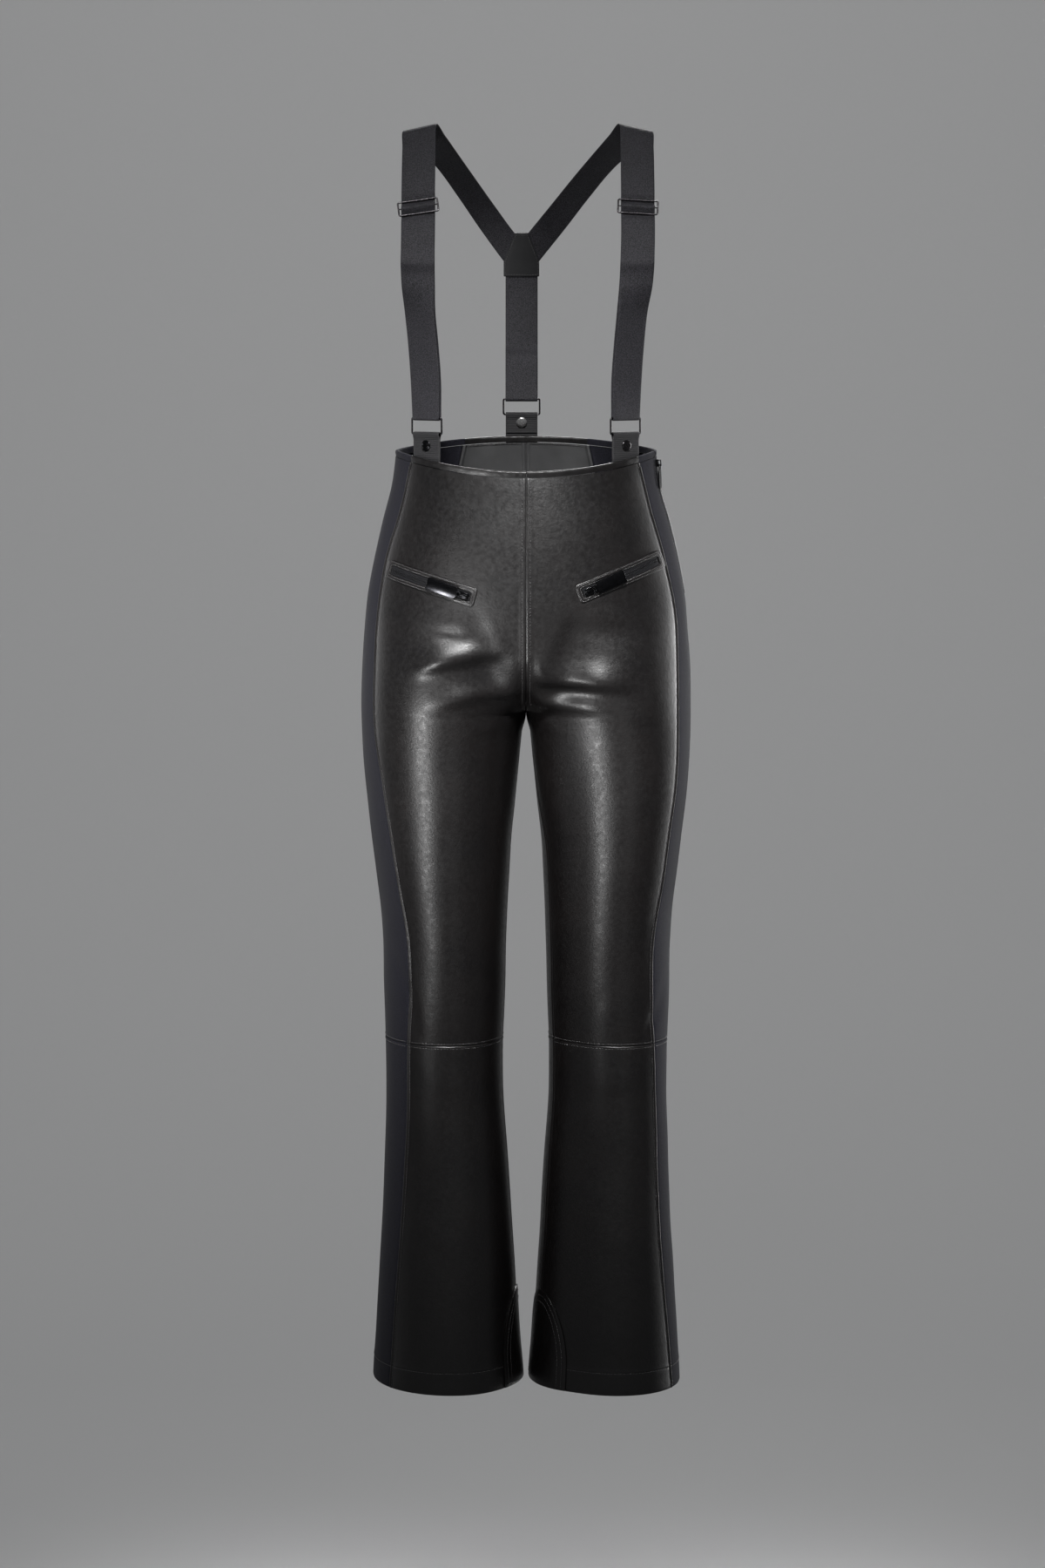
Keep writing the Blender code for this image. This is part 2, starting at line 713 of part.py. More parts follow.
def pull_tab(name, matrix, tilt, length, half_width, end_corner):
    """A zip pull that turns about its origin, X towards its free end."""
    end = rounded_outline(end_corner * 2 + 1, half_width * 2, end_corner, 1)
    end = end[end[:, 0] > end_corner + 0.4]
    end = end[np.argsort(-end[:, 1])]
    end[:, 0] += length - end_corner * 2 - 1
    edge = [(-EYE_WALL, EYE_HALF - 1), (1 - EYE_WALL, EYE_HALF), (6.6, EYE_HALF), (8.6, half_width)]
    points = edge + [tuple(p) for p in end] + [(x, -y) for x, y in edge[::-1]]
    slot = [(EYE_WALL, EYE_SLOT[1]), (EYE_SLOT[0], EYE_SLOT[1])]
    slot += [(EYE_SLOT[0], -EYE_SLOT[1]), (EYE_WALL, -EYE_SLOT[1])]
    placed = matrix @ Matrix.Rotation(math.radians(tilt), 4, "Y")
    return flat_outline(name, placed, [points, slot], PULL_THICK / 2, PULL_ROUNDING, "black_metal")


POCKET_SLIDER = (9.6, 8.4)
POCKET_PULL = (43.0, 7.0, 1.2)  # length, half width, corner
POCKET_PULL_TILT = 7.0
SLIDER_INSET = 12.0
SIDE_SLIDER = (8.4, 7.0)
SIDE_SLIDER_LEVEL = -14.0
SIDE_PULL = (27.0, 4.6, 3.6)
SIDE_PULL_TILT = 4.0
SIDE_TAPE_OUT = -0.2  # the side zip's tape lies just below the outer face


def make_pocket_pulls():
    for pocket in POCKETS:
        which = SIDE_NAMES[pocket["side"]]
        base = on_pocket(pocket, SLIDER_INSET, 0.0, SLIDER_BASE)
        along = on_pocket(pocket, SLIDER_INSET + 4, 0.0, SLIDER_BASE) - base
        out = on_pocket(pocket, SLIDER_INSET, 0.0, SLIDER_BASE + 1) - base
        matrix = frame_matrix(base, along, out)
        slider(f"pocket_slider_{which}", matrix, *POCKET_SLIDER)
        pull_tab(f"pocket_pull_{which}", hinge_on(matrix, POCKET_SLIDER), POCKET_PULL_TILT, *POCKET_PULL)


def make_side_zip():
    levels = [-0.5] + UPPER_LEVELS[:7] + [4 - SIDE_ZIP_LENGTH]
    levels = np.array(levels, float)
    half = SIDE_ZIP_OPENING / 2 - SEAM_GAP
    rows = []
    for aside, out in (
        (-half, -WALL), (half, -WALL), (half, SIDE_TAPE_OUT), (0.9, SIDE_TAPE_OUT),
        (0.6, SIDE_TAPE_OUT + 0.6), (-0.6, SIDE_TAPE_OUT + 0.6), (-0.9, SIDE_TAPE_OUT),
        (-half, SIDE_TAPE_OUT),
    ):  # fmt: skip
        narrow = np.where(levels < -150, 0.35, 1.0)
        seam = zip_seam(levels)
        turn = seam + np.sign(aside) * turn_of_length(LEFT, levels, seam, abs(aside) * narrow)
        rows.append(cloth(LEFT, levels, turn, out))
    bar_through("side_zip", np.stack(rows, axis=1), "zip_tape")

    level = np.array(SIDE_SLIDER_LEVEL)
    seam = zip_seam(level)
    base = cloth(LEFT, level, seam, EDGE_PROUD + SLIDER_CLEAR)
    out = outward(LEFT, level, seam)
    matrix = frame_matrix(base, np.array([0.0, 0.0, -1.0]), out)
    slider("side_slider", matrix, *SIDE_SLIDER)
    pull_tab("side_pull", hinge_on(matrix, SIDE_SLIDER), SIDE_PULL_TILT, *SIDE_PULL)


# ---- Braces ----------------------------------------------------------------------
# The two edges of each shoulder elastic from its front ring over the shoulder to the yoke,
# as distances from the middle, with the sideways shift of each place.
SHOULDER_ELASTIC = table(
    "inner_x inner_y inner_z outer_x outer_y outer_z shift",
    (95.4, -67.6, 38, 124.6, -45.6, 38, 0),
    (95, -71, 75, 126, -52, 75, 0),
    (97.5, -76, 115, 128.5, -57.5, 115, 0),
    (100.5, -81, 152, 132, -64, 152, 0),
    (100.5, -82, 181, 136, -76, 181, 1),
    (100.7, -77, 208, 137.2, -76, 208, 1.5),
    (101, -69, 236, 137.5, -69, 236, 2),
    (101, -58, 264.5, 137.5, -58, 264.5, 2),
    (101, -41, 298, 137.5, -41, 298, 2),
    (101, -20, 331, 137.3, -21, 328, 2),
    (100.3, 0, 355.5, 136.6, 0, 348, 1.8),
    (90.2, 20, 344, 118.3, 36, 329, 1),
    (76, 46, 326.5, 99, 67, 311, -0.5),
    (54, 82, 299, 72.7, 103, 278, -2.5),
    (31, 111, 269.5, 47.3, 127, 243.5, -4),
    (7.5, 127, 239.8, 20.4, 131.7, 208.7, -5.2),
    (4.8, 127.6, 236.5, 17.7, 132.2, 205.3, -5.2),
)
ADJUSTER_ROW = 7
ADJUSTER_TILT = {RIGHT: 2.6, LEFT: 1.0}  # by how much the inner end is higher
TILT_SHARE = {6: 0.6, 7: 1.0, 8: 0.6}  # how much of that tilt each row takes
BACK_MIDDLE = -5.0  # the yoke and the back elastic hang a little off the middle
BACK_ELASTIC = table(
    "depth height",
    (101.4, 54.7),
    (108.0, 80),
    (117.5, 115),
    (127.0, 150),
    (133.3, 178),
    (134.35, 191),
    (133.15, 199),
)
BACK_ELASTIC_HALF = 18.3
BACK_RETURN = 45.0  # length of the sewn-down end behind the back ring
LOOP_RADIUS = WIRE_RADIUS + 0.45 + ELASTIC_THICK / 2


def edges_track(rows):
    """Both edges of an elastic as a smooth function of its length, and each row's length."""
    rows = np.array(rows, float)
    middles = (rows[:, :3] + rows[:, 3:]) / 2
    places = np.concatenate([[0], np.cumsum(np.linalg.norm(np.diff(middles, axis=0), axis=1))])
    return smooth_track(places, rows), places


def ribbon_frame(track, place, facing):
    """Middle, half width, direction and outward normal of an elastic at a length."""
    step = 0.5
    here, ahead, behind = (track(np.array(float(p))) for p in (place, place + step, place - step))
    run = (ahead - behind)[:3] + (ahead - behind)[3:]
    run = run / np.linalg.norm(run)
    half = (here[3:] - here[:3]) / 2
    out = np.cross(half, run) * facing
    return (here[:3] + here[3:]) / 2, half, run, out / np.linalg.norm(out)


def ribbon_section(middle, half, out):
    thick = out * ELASTIC_THICK / 2
    edges = (middle - half, middle + half)
    return [edges[0] - thick, edges[1] - thick, edges[1] + thick, edges[0] + thick]


def looped_elastic(name, track, places, return_places, facing, sway):
    """An elastic that comes down its track, round a ring's bar and back up behind itself."""
    sections = []
    for place in places:
        middle, half, run, out = ribbon_frame(track, place, facing)
        sections.append(ribbon_section(middle + out * sway(place), half, out))
    middle, half, run, out = ribbon_frame(track, 0.6, facing)
    bar = middle - out * LOOP_RADIUS - run * 2.5
    for angle in np.radians([0, 45, 90, 135, 180]):
        away = out * math.cos(angle) - run * math.sin(angle)
        sections.append(ribbon_section(bar + away * LOOP_RADIUS, half, away))
    for place in return_places:
        middle, half_here, _, out = ribbon_frame(track, place, facing)
        sections.append(ribbon_section(middle - out * LOOP_RADIUS * 2, half_here, -out))
    bar_through(name, np.array(sections), "elastic")
    return bar, half


def adjuster(name, matrix):
    """A three-bar slide, whose outer bars lie over the elastic and the middle bar behind."""
    width, height = ADJUSTER_SIZE
    rounding, bar = 0.7, 0.35
    outside = rounded_outline(width - 2 * rounding, height - 2 * rounding, 1.8, 1)
    outside[:, 0] -= width / 2 - rounding
    reach = width / 2 - 1.8
    top = height / 2 - 2 * rounding
    slots = [
        [(-reach, sign * bar), (reach, sign * bar), (reach, sign * top), (-reach, sign * top)]
        for sign in (1, -1)
    ]
    flat_outline(name, matrix, [outside, *slots], WIRE_RADIUS - 0.1, rounding, "gunmetal")


def wire_ring(name, bar, half):
    """A wire ring that hangs from its upper bar. Returns the middle of its lower bar."""
    across = half / np.linalg.norm(half)
    up = np.array([0.0, 0.0, 1.0])
    matrix = frame_matrix(bar - up * RING_SIZE[1] / 2, across, np.cross(across, up))
    outline = rounded_outline(*RING_SIZE, 2.0, 1)
    outline[:, 0] -= RING_SIZE[0] / 2
    wire = bpy.data.curves.new(name, "CURVE")
    wire.dimensions = "3D"
    wire.bevel_depth = WIRE_RADIUS * MM
    wire.bevel_resolution = 1
    add_rings(wire, [outline])
    wire.materials.append(finish("gunmetal"))
    made = bpy.data.objects.new(name, wire)
    GARMENT.objects.link(made)
    made.matrix_world = matrix
    return bar - up * RING_SIZE[1]


TAB_THICK = 1.3
TAB_HALF = 18.0
TAB_LOOP = WIRE_RADIUS + 0.45 + TAB_THICK / 2
TAB_LAYERS = TAB_THICK + 0.3  # between the middles of its two layers
TAB_CLOSES = 7.0  # the layers come together over this length
TAB_LEAN_FROM = 30.0  # its lower part follows the cloth from this far below the bar


def tab_offset(drop, sign, lean):
    """How far a layer of a tab stands out from the bar's line, this far below the bar."""
    close = smoothstep(drop / TAB_CLOSES)
    apart = TAB_LOOP + (TAB_LAYERS / 2 - TAB_LOOP) * close
    return sign * apart + lean * np.maximum(drop - TAB_LEAN_FROM, 0)


def hanging_tab(name, bar, across, out, outer_end, inner_end, lean):
    """Webbing from its outer end up round a ring's lower bar and down to its inner end."""
    drops = np.array([0, 1.5, 3, 4.5, 6, 8, TAB_LEAN_FROM])
    path = []
    for end, sign in ((outer_end, 1), (inner_end, -1)):
        drop = np.append(drops[drops < bar[2] - end - 1], bar[2] - end)[::-sign]
        layer = [(tab_offset(d, sign, lean), bar[2] - d, sign, 0.0) for d in drop]
        path += layer
        if sign == 1:
            for angle in np.radians([45, 90, 135]):
                cos, sin = math.cos(angle), math.sin(angle)
                path.append((TAB_LOOP * cos, bar[2] + TAB_LOOP * sin, cos, sin))
    half = across * TAB_HALF
    sections = []
    for offset, height, normal_out, normal_up in path:
        middle = np.array([bar[0], bar[1], height]) + out * offset
        thick = (out * normal_out + np.array([0.0, 0.0, normal_up])) * TAB_THICK / 2
        edges = (middle - half, middle + half)
        sections.append([edges[0] - thick, edges[1] - thick, edges[1] + thick, edges[0] + thick])
    bar_through(name, np.array(sections), "webbing")


def stud_on_tab(name, bar, out, height, sign, finish_name):
    """A press stud that rests on one layer of a tab."""
    ends = []
    for reach in (STUD_RADIUS, -STUD_RADIUS):
        offset = tab_offset(bar[2] - height - reach, sign, 0.0) + sign * (TAB_THICK / 2 + 0.25)
        ends.append(np.array([bar[0], bar[1], height + reach]) + out * offset)
    down = ends[1] - ends[0]
    normal = out * sign - down * np.dot(out * sign, down) / np.dot(down, down)
    stud(name, (ends[0] + ends[1]) / 2, down, normal, finish_name)


def stud(name, place, along, out, finish_name):
    """The domed cap of a press stud."""
    radius = STUD_RADIUS
    profile = [(0, 1.5), (radius * 0.55, 1.45), (radius * 0.85, 1.1), (radius, 0.5), (radius, 0), (0, 0)]
    mesh = bpy.data.meshes.new(name)
    points = [(x * MM, 0, z * MM) for x, z in profile]
    mesh.from_pydata(points, [(i, i + 1) for i in range(len(points) - 1)], [])
    made = add_object(name, mesh, finish_name)
    turn = made.modifiers.new("turn", "SCREW")
    turn.steps = turn.render_steps = 20
    turn.use_merge_vertices = True
    turn.merge_threshold = 0.00001
    made.matrix_world = frame_matrix(place, along, out)


YOKE_TOP, YOKE_SHOULDER, YOKE_BOTTOM = 240.3, 208.5, 191.5
YOKE_HALF_TOP, YOKE_HALF = 7.5, 20.3
YOKE_THICK = 1.2
YOKE_CLEAR = 0.6
YOKE_FRONT = 127.0  # depth of the elastics' plane at the yoke's top
YOKE_LEAN = 0.15


def make_yoke():
    lean = np.array([0.0, -YOKE_LEAN, 1.0]) / math.hypot(1, YOKE_LEAN)
    out = np.cross(np.array([1.0, 0.0, 0.0]), lean) * -1
    height = (YOKE_TOP - YOKE_BOTTOM) * math.hypot(1, YOKE_LEAN)
    shoulder = height * (YOKE_SHOULDER - YOKE_BOTTOM) / (YOKE_TOP - YOKE_BOTTOM)
    right = [(YOKE_HALF, 0), (YOKE_HALF, shoulder), (YOKE_HALF_TOP, height)]
    outline = right + [(-x, y) for x, y in right[::-1]]
    foot = np.array([BACK_MIDDLE - 0.2, YOKE_FRONT + (YOKE_TOP - YOKE_BOTTOM) * YOKE_LEAN, YOKE_BOTTOM])
    for which, sign in (("inner", -1), ("outer", 1)):
        away = ELASTIC_THICK / 2 + YOKE_CLEAR + YOKE_THICK / 2
        place = frame_matrix(foot + out * sign * away, np.array([1.0, 0.0, 0.0]), -out)
        flat_outline(f"yoke_{which}", place, [outline], YOKE_THICK / 2, 0.25, "yoke_leather")


def make_shoulder_elastics():
    bar_gap = ADJUSTER_SIZE[1] / 2 - 1.05
    sway_most = WIRE_RADIUS + 0.55 + ELASTIC_THICK / 2
    near = np.array([0, 1.5, 3.2, 4.6, 6.2, 7.7, 9.3, 12, 17])
    for side in (RIGHT, LEFT):
        rows = []
        for number, row in enumerate(SHOULDER_ELASTIC):
            tilt = ADJUSTER_TILT[side] * TILT_SHARE.get(number, 0.0)
            rows.append([
                side * row["inner_x"] + row["shift"], row["inner_y"], row["inner_z"] + tilt,
                side * row["outer_x"] + row["shift"], row["outer_y"], row["outer_z"] - tilt,
            ])  # fmt: skip
        track, lengths = edges_track(rows)
        slide = lengths[ADJUSTER_ROW]

        def sway(place, slide=slide):
            away = abs(place - slide)
            if away < bar_gap:
                return sway_most * math.cos(math.pi * away / bar_gap)
            return -sway_most * float(smoothstep((2 * bar_gap + 1 - away) / (bar_gap + 1)))

        places = [p for p in np.linspace(0.6, lengths[-1] - 0.6, 42) if abs(p - slide) > 20]
        places = sorted({*places, *(slide + near), *(slide - near)}, reverse=True)
        back_up = np.linspace(9, slide + 9, 13)
        which = SIDE_NAMES[side]
        bar, half = looped_elastic(f"elastic_{which}", track, places, back_up, side, sway)
        low_bar = wire_ring(f"ring_{which}", bar, half)
        make_front_tab(which, low_bar, half)
        middle, half, _, out = ribbon_frame(track, slide, side)
        adjuster(f"adjuster_{which}", frame_matrix(middle, half, out))


FRONT_TAB_ENDS = (-16.0, -44.0)  # heights at which its outer and inner layers end
FRONT_STUD_HEIGHT = 6.3
BACK_TAB_ENDS = (-34.0, 15.5)
BACK_STUD_HEIGHT = 26.8
BACK_TAB_LEAN = 0.085


def make_front_tab(which, low_bar, half):
    across = half / np.linalg.norm(half)
    out = np.cross(across, np.array([0.0, 0.0, 1.0]))
    out = out * -np.sign(out[1])
    hanging_tab(f"tab_{which}", low_bar, across, out, *FRONT_TAB_ENDS, 0.0)
    metal = "black_metal" if which == "right" else "gunmetal"
    stud_on_tab(f"stud_{which}", low_bar, out, FRONT_STUD_HEIGHT, 1, metal)


def make_back_elastic():
    left, right = BACK_MIDDLE - BACK_ELASTIC_HALF, BACK_MIDDLE + BACK_ELASTIC_HALF
    rows = []
    for row in BACK_ELASTIC:
        rows.append((left, row["depth"], row["height"], right, row["depth"], row["height"]))
    track, lengths = edges_track(rows)
    places = np.linspace(lengths[-1] - 0.6, 0.6, 16)
    back_up = np.linspace(9, BACK_RETURN, 4)
    bar, half = looped_elastic("elastic_back", track, places, back_up, -1, lambda place: 0.0)
    low_bar = wire_ring("ring_back", bar, half)
    across, out = np.array([1.0, 0.0, 0.0]), np.array([0.0, 1.0, 0.0])
    hanging_tab("tab_back", low_bar, across, out, *BACK_TAB_ENDS, BACK_TAB_LEAN)
    stud_on_tab("stud_back", low_bar, out, BACK_STUD_HEIGHT, -1, "silver")


# ---- Everything ------------------------------------------------------------------
def clear_scene():
    for thing in list(bpy.data.objects):
        bpy.data.objects.remove(thing)


def add_collection(name):
    made = bpy.data.collections.new(name)
    bpy.context.scene.collection.children.link(made)
    return made


clear_scene()
GARMENT = add_collection("ski_trousers")
CUTTERS = add_collection("cutters")
make_panels()
make_waist_edges()
make_guards()
make_pockets()
make_pocket_pulls()
make_side_zip()
make_shoulder_elastics()
make_back_elastic()
make_yoke()
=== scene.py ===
# %% [markdown]
# # Ski trousers with elastic braces, filled out with no wearer
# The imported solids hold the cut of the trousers: panels, rolled waist edge, zips and braces.
# This script dresses each of them. The same named sizes and tables are sampled more finely,
# and folds, seams, stitching, zip teeth and metal fittings are added where the real ones are.
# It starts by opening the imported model, whose bodies carry every piece made below.

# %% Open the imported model
import json
import math

import bpy
import numpy as np
from mathutils import Matrix, Vector

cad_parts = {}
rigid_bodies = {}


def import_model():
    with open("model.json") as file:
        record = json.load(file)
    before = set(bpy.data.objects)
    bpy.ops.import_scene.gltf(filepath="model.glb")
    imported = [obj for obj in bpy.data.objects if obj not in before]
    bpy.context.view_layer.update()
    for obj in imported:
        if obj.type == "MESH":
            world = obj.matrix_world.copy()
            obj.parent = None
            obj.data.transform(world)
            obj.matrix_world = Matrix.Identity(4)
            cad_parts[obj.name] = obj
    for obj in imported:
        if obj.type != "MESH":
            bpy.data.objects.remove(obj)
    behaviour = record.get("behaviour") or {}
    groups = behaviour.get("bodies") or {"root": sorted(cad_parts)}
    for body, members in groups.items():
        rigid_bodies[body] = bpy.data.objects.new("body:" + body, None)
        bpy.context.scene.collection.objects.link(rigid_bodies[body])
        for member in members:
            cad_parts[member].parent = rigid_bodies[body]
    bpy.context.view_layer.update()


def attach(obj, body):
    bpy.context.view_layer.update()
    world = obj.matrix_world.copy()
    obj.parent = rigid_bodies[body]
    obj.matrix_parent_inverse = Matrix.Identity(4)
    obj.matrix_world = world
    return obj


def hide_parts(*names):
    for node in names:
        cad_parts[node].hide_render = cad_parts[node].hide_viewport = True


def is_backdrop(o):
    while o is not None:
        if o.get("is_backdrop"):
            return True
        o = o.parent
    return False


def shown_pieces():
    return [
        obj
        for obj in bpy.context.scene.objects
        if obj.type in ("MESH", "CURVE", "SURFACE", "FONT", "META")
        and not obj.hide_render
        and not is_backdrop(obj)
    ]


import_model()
MM = 0.001
RIGHT, LEFT = -1, 1
SIDES = ((RIGHT, "right"), (LEFT, "left"))

# %% [markdown]
# ## Camera
# The photograph looks down a little from about chest height with a portrait lens, so that
# the hem and the waist opening both show as shallow arcs. An 85 mm lens four metres away,
# pitched down by seven degrees, gives both arcs their depth.

# %% Camera at the photograph's angle
lens = bpy.data.cameras.new("camera")
lens.lens = 85
lens.sensor_width = 36
camera = bpy.data.objects.new("camera", lens)
camera.location = (-0.004, -4.12, 0.155)
camera.rotation_euler = (math.radians(90 - 7.317), 0, 0)
bpy.context.scene.collection.objects.link(camera)
bpy.context.scene.camera = camera
print("camera at", tuple(camera.location))

# %% [markdown]
# ## Floor and light
# The trousers hang free in front of plain pale grey, so a wide floor lies far below them. It
# curves up into a wall and hides the horizon: a plane's back edge is extruded upwards and
# the fold is bevelled. Glossy black cloth shows its lights more than its colour. A wide
# light above the camera brightens the hips and thighs, a low one at the camera's left adds
# the bands down the legs, and strips behind on both sides give the thin bright rims. The
# beams from the front are narrow, so that they miss the floor. Two broad lights even out
# the wall.

# %% Floor
FLOOR = -2.4
FLOOR_SIZE = 16
WALL_HEIGHT = 9


def choose(*pieces):
    """Selects only these objects, with the first as the active one."""
    bpy.ops.object.select_all(action="DESELECT")
    for piece in pieces:
        piece.select_set(True)
    if pieces:
        bpy.context.view_layer.objects.active = pieces[0]


def edit(kind=None):
    bpy.ops.object.mode_set(mode="EDIT")
    if kind:
        bpy.ops.mesh.select_mode(type=kind)
        bpy.ops.mesh.select_all(action="DESELECT")
        bpy.ops.object.mode_set(mode="OBJECT")


def leave_edit():
    bpy.ops.object.mode_set(mode="OBJECT")


def plain_material(name, colour, roughness, metallic=0.0):
    made = bpy.data.materials.new(name)
    made.use_nodes = True
    inputs = made.node_tree.nodes["Principled BSDF"].inputs
    inputs["Base Color"].default_value = (*colour, 1.0)
    inputs["Roughness"].default_value = roughness
    inputs["Metallic"].default_value = metallic
    return made


choose()
bpy.ops.mesh.primitive_plane_add(size=FLOOR_SIZE, location=(0, 0, FLOOR))
floor = bpy.context.object
floor.name = "floor"
edit("EDGE")
for edge in floor.data.edges:
    edge.select = all(floor.data.vertices[v].co.y > FLOOR_SIZE / 2 - 0.1 for v in edge.vertices)
edit()
bpy.ops.mesh.extrude_region_move(TRANSFORM_OT_translate={"value": (0, 0, WALL_HEIGHT)})
leave_edit()
fold = floor.modifiers.new("fold", "BEVEL")
fold.width = 3.5
fold.segments = 24
bpy.ops.object.shade_smooth()
floor.data.materials.append(plain_material("pale_grey_paper", (0.62, 0.62, 0.62), 0.95))
floor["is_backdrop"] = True
print("floor at", FLOOR)

# %% Lights


def soft_light(name, place, width, height, power, aim=(0.0, 0.0, -0.5), spread=180):
    light = bpy.data.lights.new(name, "AREA")
    light.shape = "RECTANGLE"
    light.size = width
    light.size_y = height
    light.energy = power
    light.spread = math.radians(spread)
    lamp = bpy.data.objects.new(name, light)
    lamp.location = place
    facing = Vector(aim) - Vector(place)
    lamp.rotation_euler = facing.to_track_quat("-Z", "Y").to_euler()
    bpy.context.scene.collection.objects.link(lamp)


soft_light("key", (-1.9, -2.68, -1.25), 1.8, 0.5, 2.0, (-0.03, 0, -0.15), 13)
soft_light("top", (-0.05, -2.5, 1.9), 1.9, 0.5, 7.6, (0, 0, -0.39), 14)
soft_light("above", (-0.2, -2.0, 2.1), 0.8, 0.5, 0.95, (0, 0.12, 0.12), 24)
soft_light("fill", (0.9, -2.9, -1.0), 0.7, 0.6, 0.03, (0.1, 0, -0.25), 18)
soft_light("rim_right", (1.7, 1.0, -0.45), 0.35, 1.7, 5, spread=60)
soft_light("rim_left", (-1.8, 1.0, -0.3), 0.35, 1.7, 1.2, spread=60)
soft_light("from_behind", (0.5, 2.8, 2.2), 1.2, 0.8, 7, (0, 0, -0.4), 35)
for name, sign in (("backdrop_left", -1), ("backdrop_right", 1)):
    soft_light(name, (3.2 * sign, 1.6, 1.2), 2.5, 2.5, 60, (-0.6 * sign, 7.0, 1.2), 150)
world = bpy.data.worlds.new("room")
world.use_nodes = True
room = world.node_tree.nodes["Background"].inputs
room["Color"].default_value = (0.95, 0.97, 1.0, 1)
room["Strength"].default_value = 0.15
bpy.context.scene.world = world
bpy.context.scene.view_settings.view_transform = "Standard"

# %% [markdown]
# ## The form, from tables
# A pattern cutter works from girths and lengths. Here each row of a table is one level of
# the trousers: how far the cloth stands to the side, inwards, forwards and back. A smooth
# curve through the rows gives any level, and a share of the way round gives any place on
# it. Panels, seams, pockets and stitching all read this one form, so they always fit.

# %% Tables of the form
WALL = 1.8
SEAM_GAP = 0.3
WAIST_EDGE_HEIGHT = 7.0
KNEE = -660.0
CROTCH = -291.0
HEM = -1055.0
HEM_TURN_UP = 27.0
FRONT_RISE_CURVE, BACK_RISE_CURVE = 72.0, 115.0
FRONT_LEG_START, BACK_LEG_START = 1.1, 0.5
OUTBOARD_FROM, OUTBOARD_RUN = 8, 60
LEG_TURN = {RIGHT: -0.06, LEFT: 0.16}
TURN_START, TURN_RUN = -225, 170
WAIST_DIP_FRONT, WAIST_RISE_BACK = 20.0, 12.0
WAIST_TILT_REACH = 110.0
LEG_TWIST = {RIGHT: 6.0, LEFT: 24.0}
LEG_TWIST_REACH = 180.0
LEGS_PART = 24
SIDE_ZIP_LENGTH = 170.0
SIDE_ZIP_OPENING = 5.2
SIDE_ZIP_LEAN = 0.045
ELASTIC_THICK = 1.4
WIRE_RADIUS = 1.1
RING_SIZE = (41.0, 17.5)
ADJUSTER_SIZE = (45.0, 17.5)
STUD_RADIUS = 6.0


def table(columns, *rows):
    return [dict(zip(columns.split(), row)) for row in rows]


FORM = table(
    "level outer gap front back",
    (0, 144, 0, 98, 98),
    (-42, 149.5, 0, 103, 102),
    (-81, 160, 0, 107, 107),
    (-120, 169, 0, 110, 113),
    (-159, 176, 0, 111, 119),
    (-198, 179.5, 0, 110, 124),
    (-237, 182.5, 0, 107, 127),
    (-276, 183.7, 0, 104, 126),
    (-315, 183, 5, 100, 118),
    (-354, 181.2, 8.5, 97, 108),
    (-394, 178, 12.2, 94, 99),
    (-433, 173.8, 16.2, 91, 92),
    (-473, 168.6, 18.6, 88, 86),
    (-513, 163.6, 20.6, 84, 81),
    (-552, 160.9, 22.1, 80, 77),
    (-592, 160.3, 22.8, 76, 74),
    (-632, 159.2, 24.2, 72, 72),
    (-672, 158.8, 25.6, 68, 71),
    (-713, 159, 25.4, 66, 72),
    (-753, 159.7, 23.7, 66, 74),
    (-793, 161, 20.8, 67, 77),
    (-834, 162.2, 18.3, 69, 80),
    (-874, 163.9, 15.8, 72, 83),
    (-915, 166.3, 13.2, 75, 86),
    (-956, 169, 10.6, 78.5, 88.5),
    (-997, 171.8, 8, 82, 91),
    (-1038, 174.6, 5, 86, 93),
    (-1055, 175.4, 4, 88, 94),
)
SEAMS = table(
    "level front_right front_left back",
    (0, 126, 123, 70),
    (-60, 138, 137, 86),
    (-120, 156, 154, 103),
    (-180, 165, 166, 118),
    (-240, 168.5, 168.5, 127),
    (-300, 168.5, 168.5, 131),
    (-360, 160, 167, 131),
    (-420, 151.5, 160, 129),
    (-480, 142.5, 152.5, 126),
    (-540, 133, 143, 123.5),
    (-600, 131, 141.5, 122),
    (-660, 132.5, 143.5, 122),
    (-740, 134, 146, 124),
    (-820, 138.5, 149, 127),
    (-900, 143.5, 153, 131),
    (-980, 149.5, 159.5, 136),
    (-1055, 155, 166, 140),
)
print(len(FORM), "levels of form,", len(SEAMS), "levels of seams")

# %% Curves through the tables


def unit(vectors):
    return vectors / np.linalg.norm(vectors, axis=-1, keepdims=True)


def steps_of(points, axis=0):
    """The lengths of the steps from each point to the next."""
    return np.linalg.norm(np.diff(points, axis=axis), axis=-1)


def smooth_track(places, values):
    """A function that runs smoothly through values given at rising places."""
    places = np.asarray(places, float)
    values = np.asarray(values, float)
    slopes = np.gradient(values, places, axis=0)

    def at(place):
        place = np.clip(place, places[0], places[-1])
        i = np.clip(np.searchsorted(places, place) - 1, 0, len(places) - 2)
        span = places[i + 1] - places[i]
        s = (place - places[i]) / span
        if values.ndim > 1:
            s = s[..., None]
            span = span[..., None]
        start = (1 + 2 * s) * (1 - s) ** 2 * values[i] + s * (1 - s) ** 2 * span * slopes[i]
        end = s * s * (3 - 2 * s) * values[i + 1] - s * s * (1 - s) * span * slopes[i + 1]
        return start + end

    return at


def column(rows, name):
    rising = rows[::-1]
    return smooth_track([row["level"] for row in rising], [row[name] for row in rising])


OUTER, GAP, FRONT, BACK = (column(FORM, name) for name in ("outer", "gap", "front", "back"))
SEAM = {name: column(SEAMS, name) for name in ("front_right", "front_left", "back")}


def smoothstep(share):
    share = np.clip(share, 0.0, 1.0)
    return share * share * (3 - 2 * share)


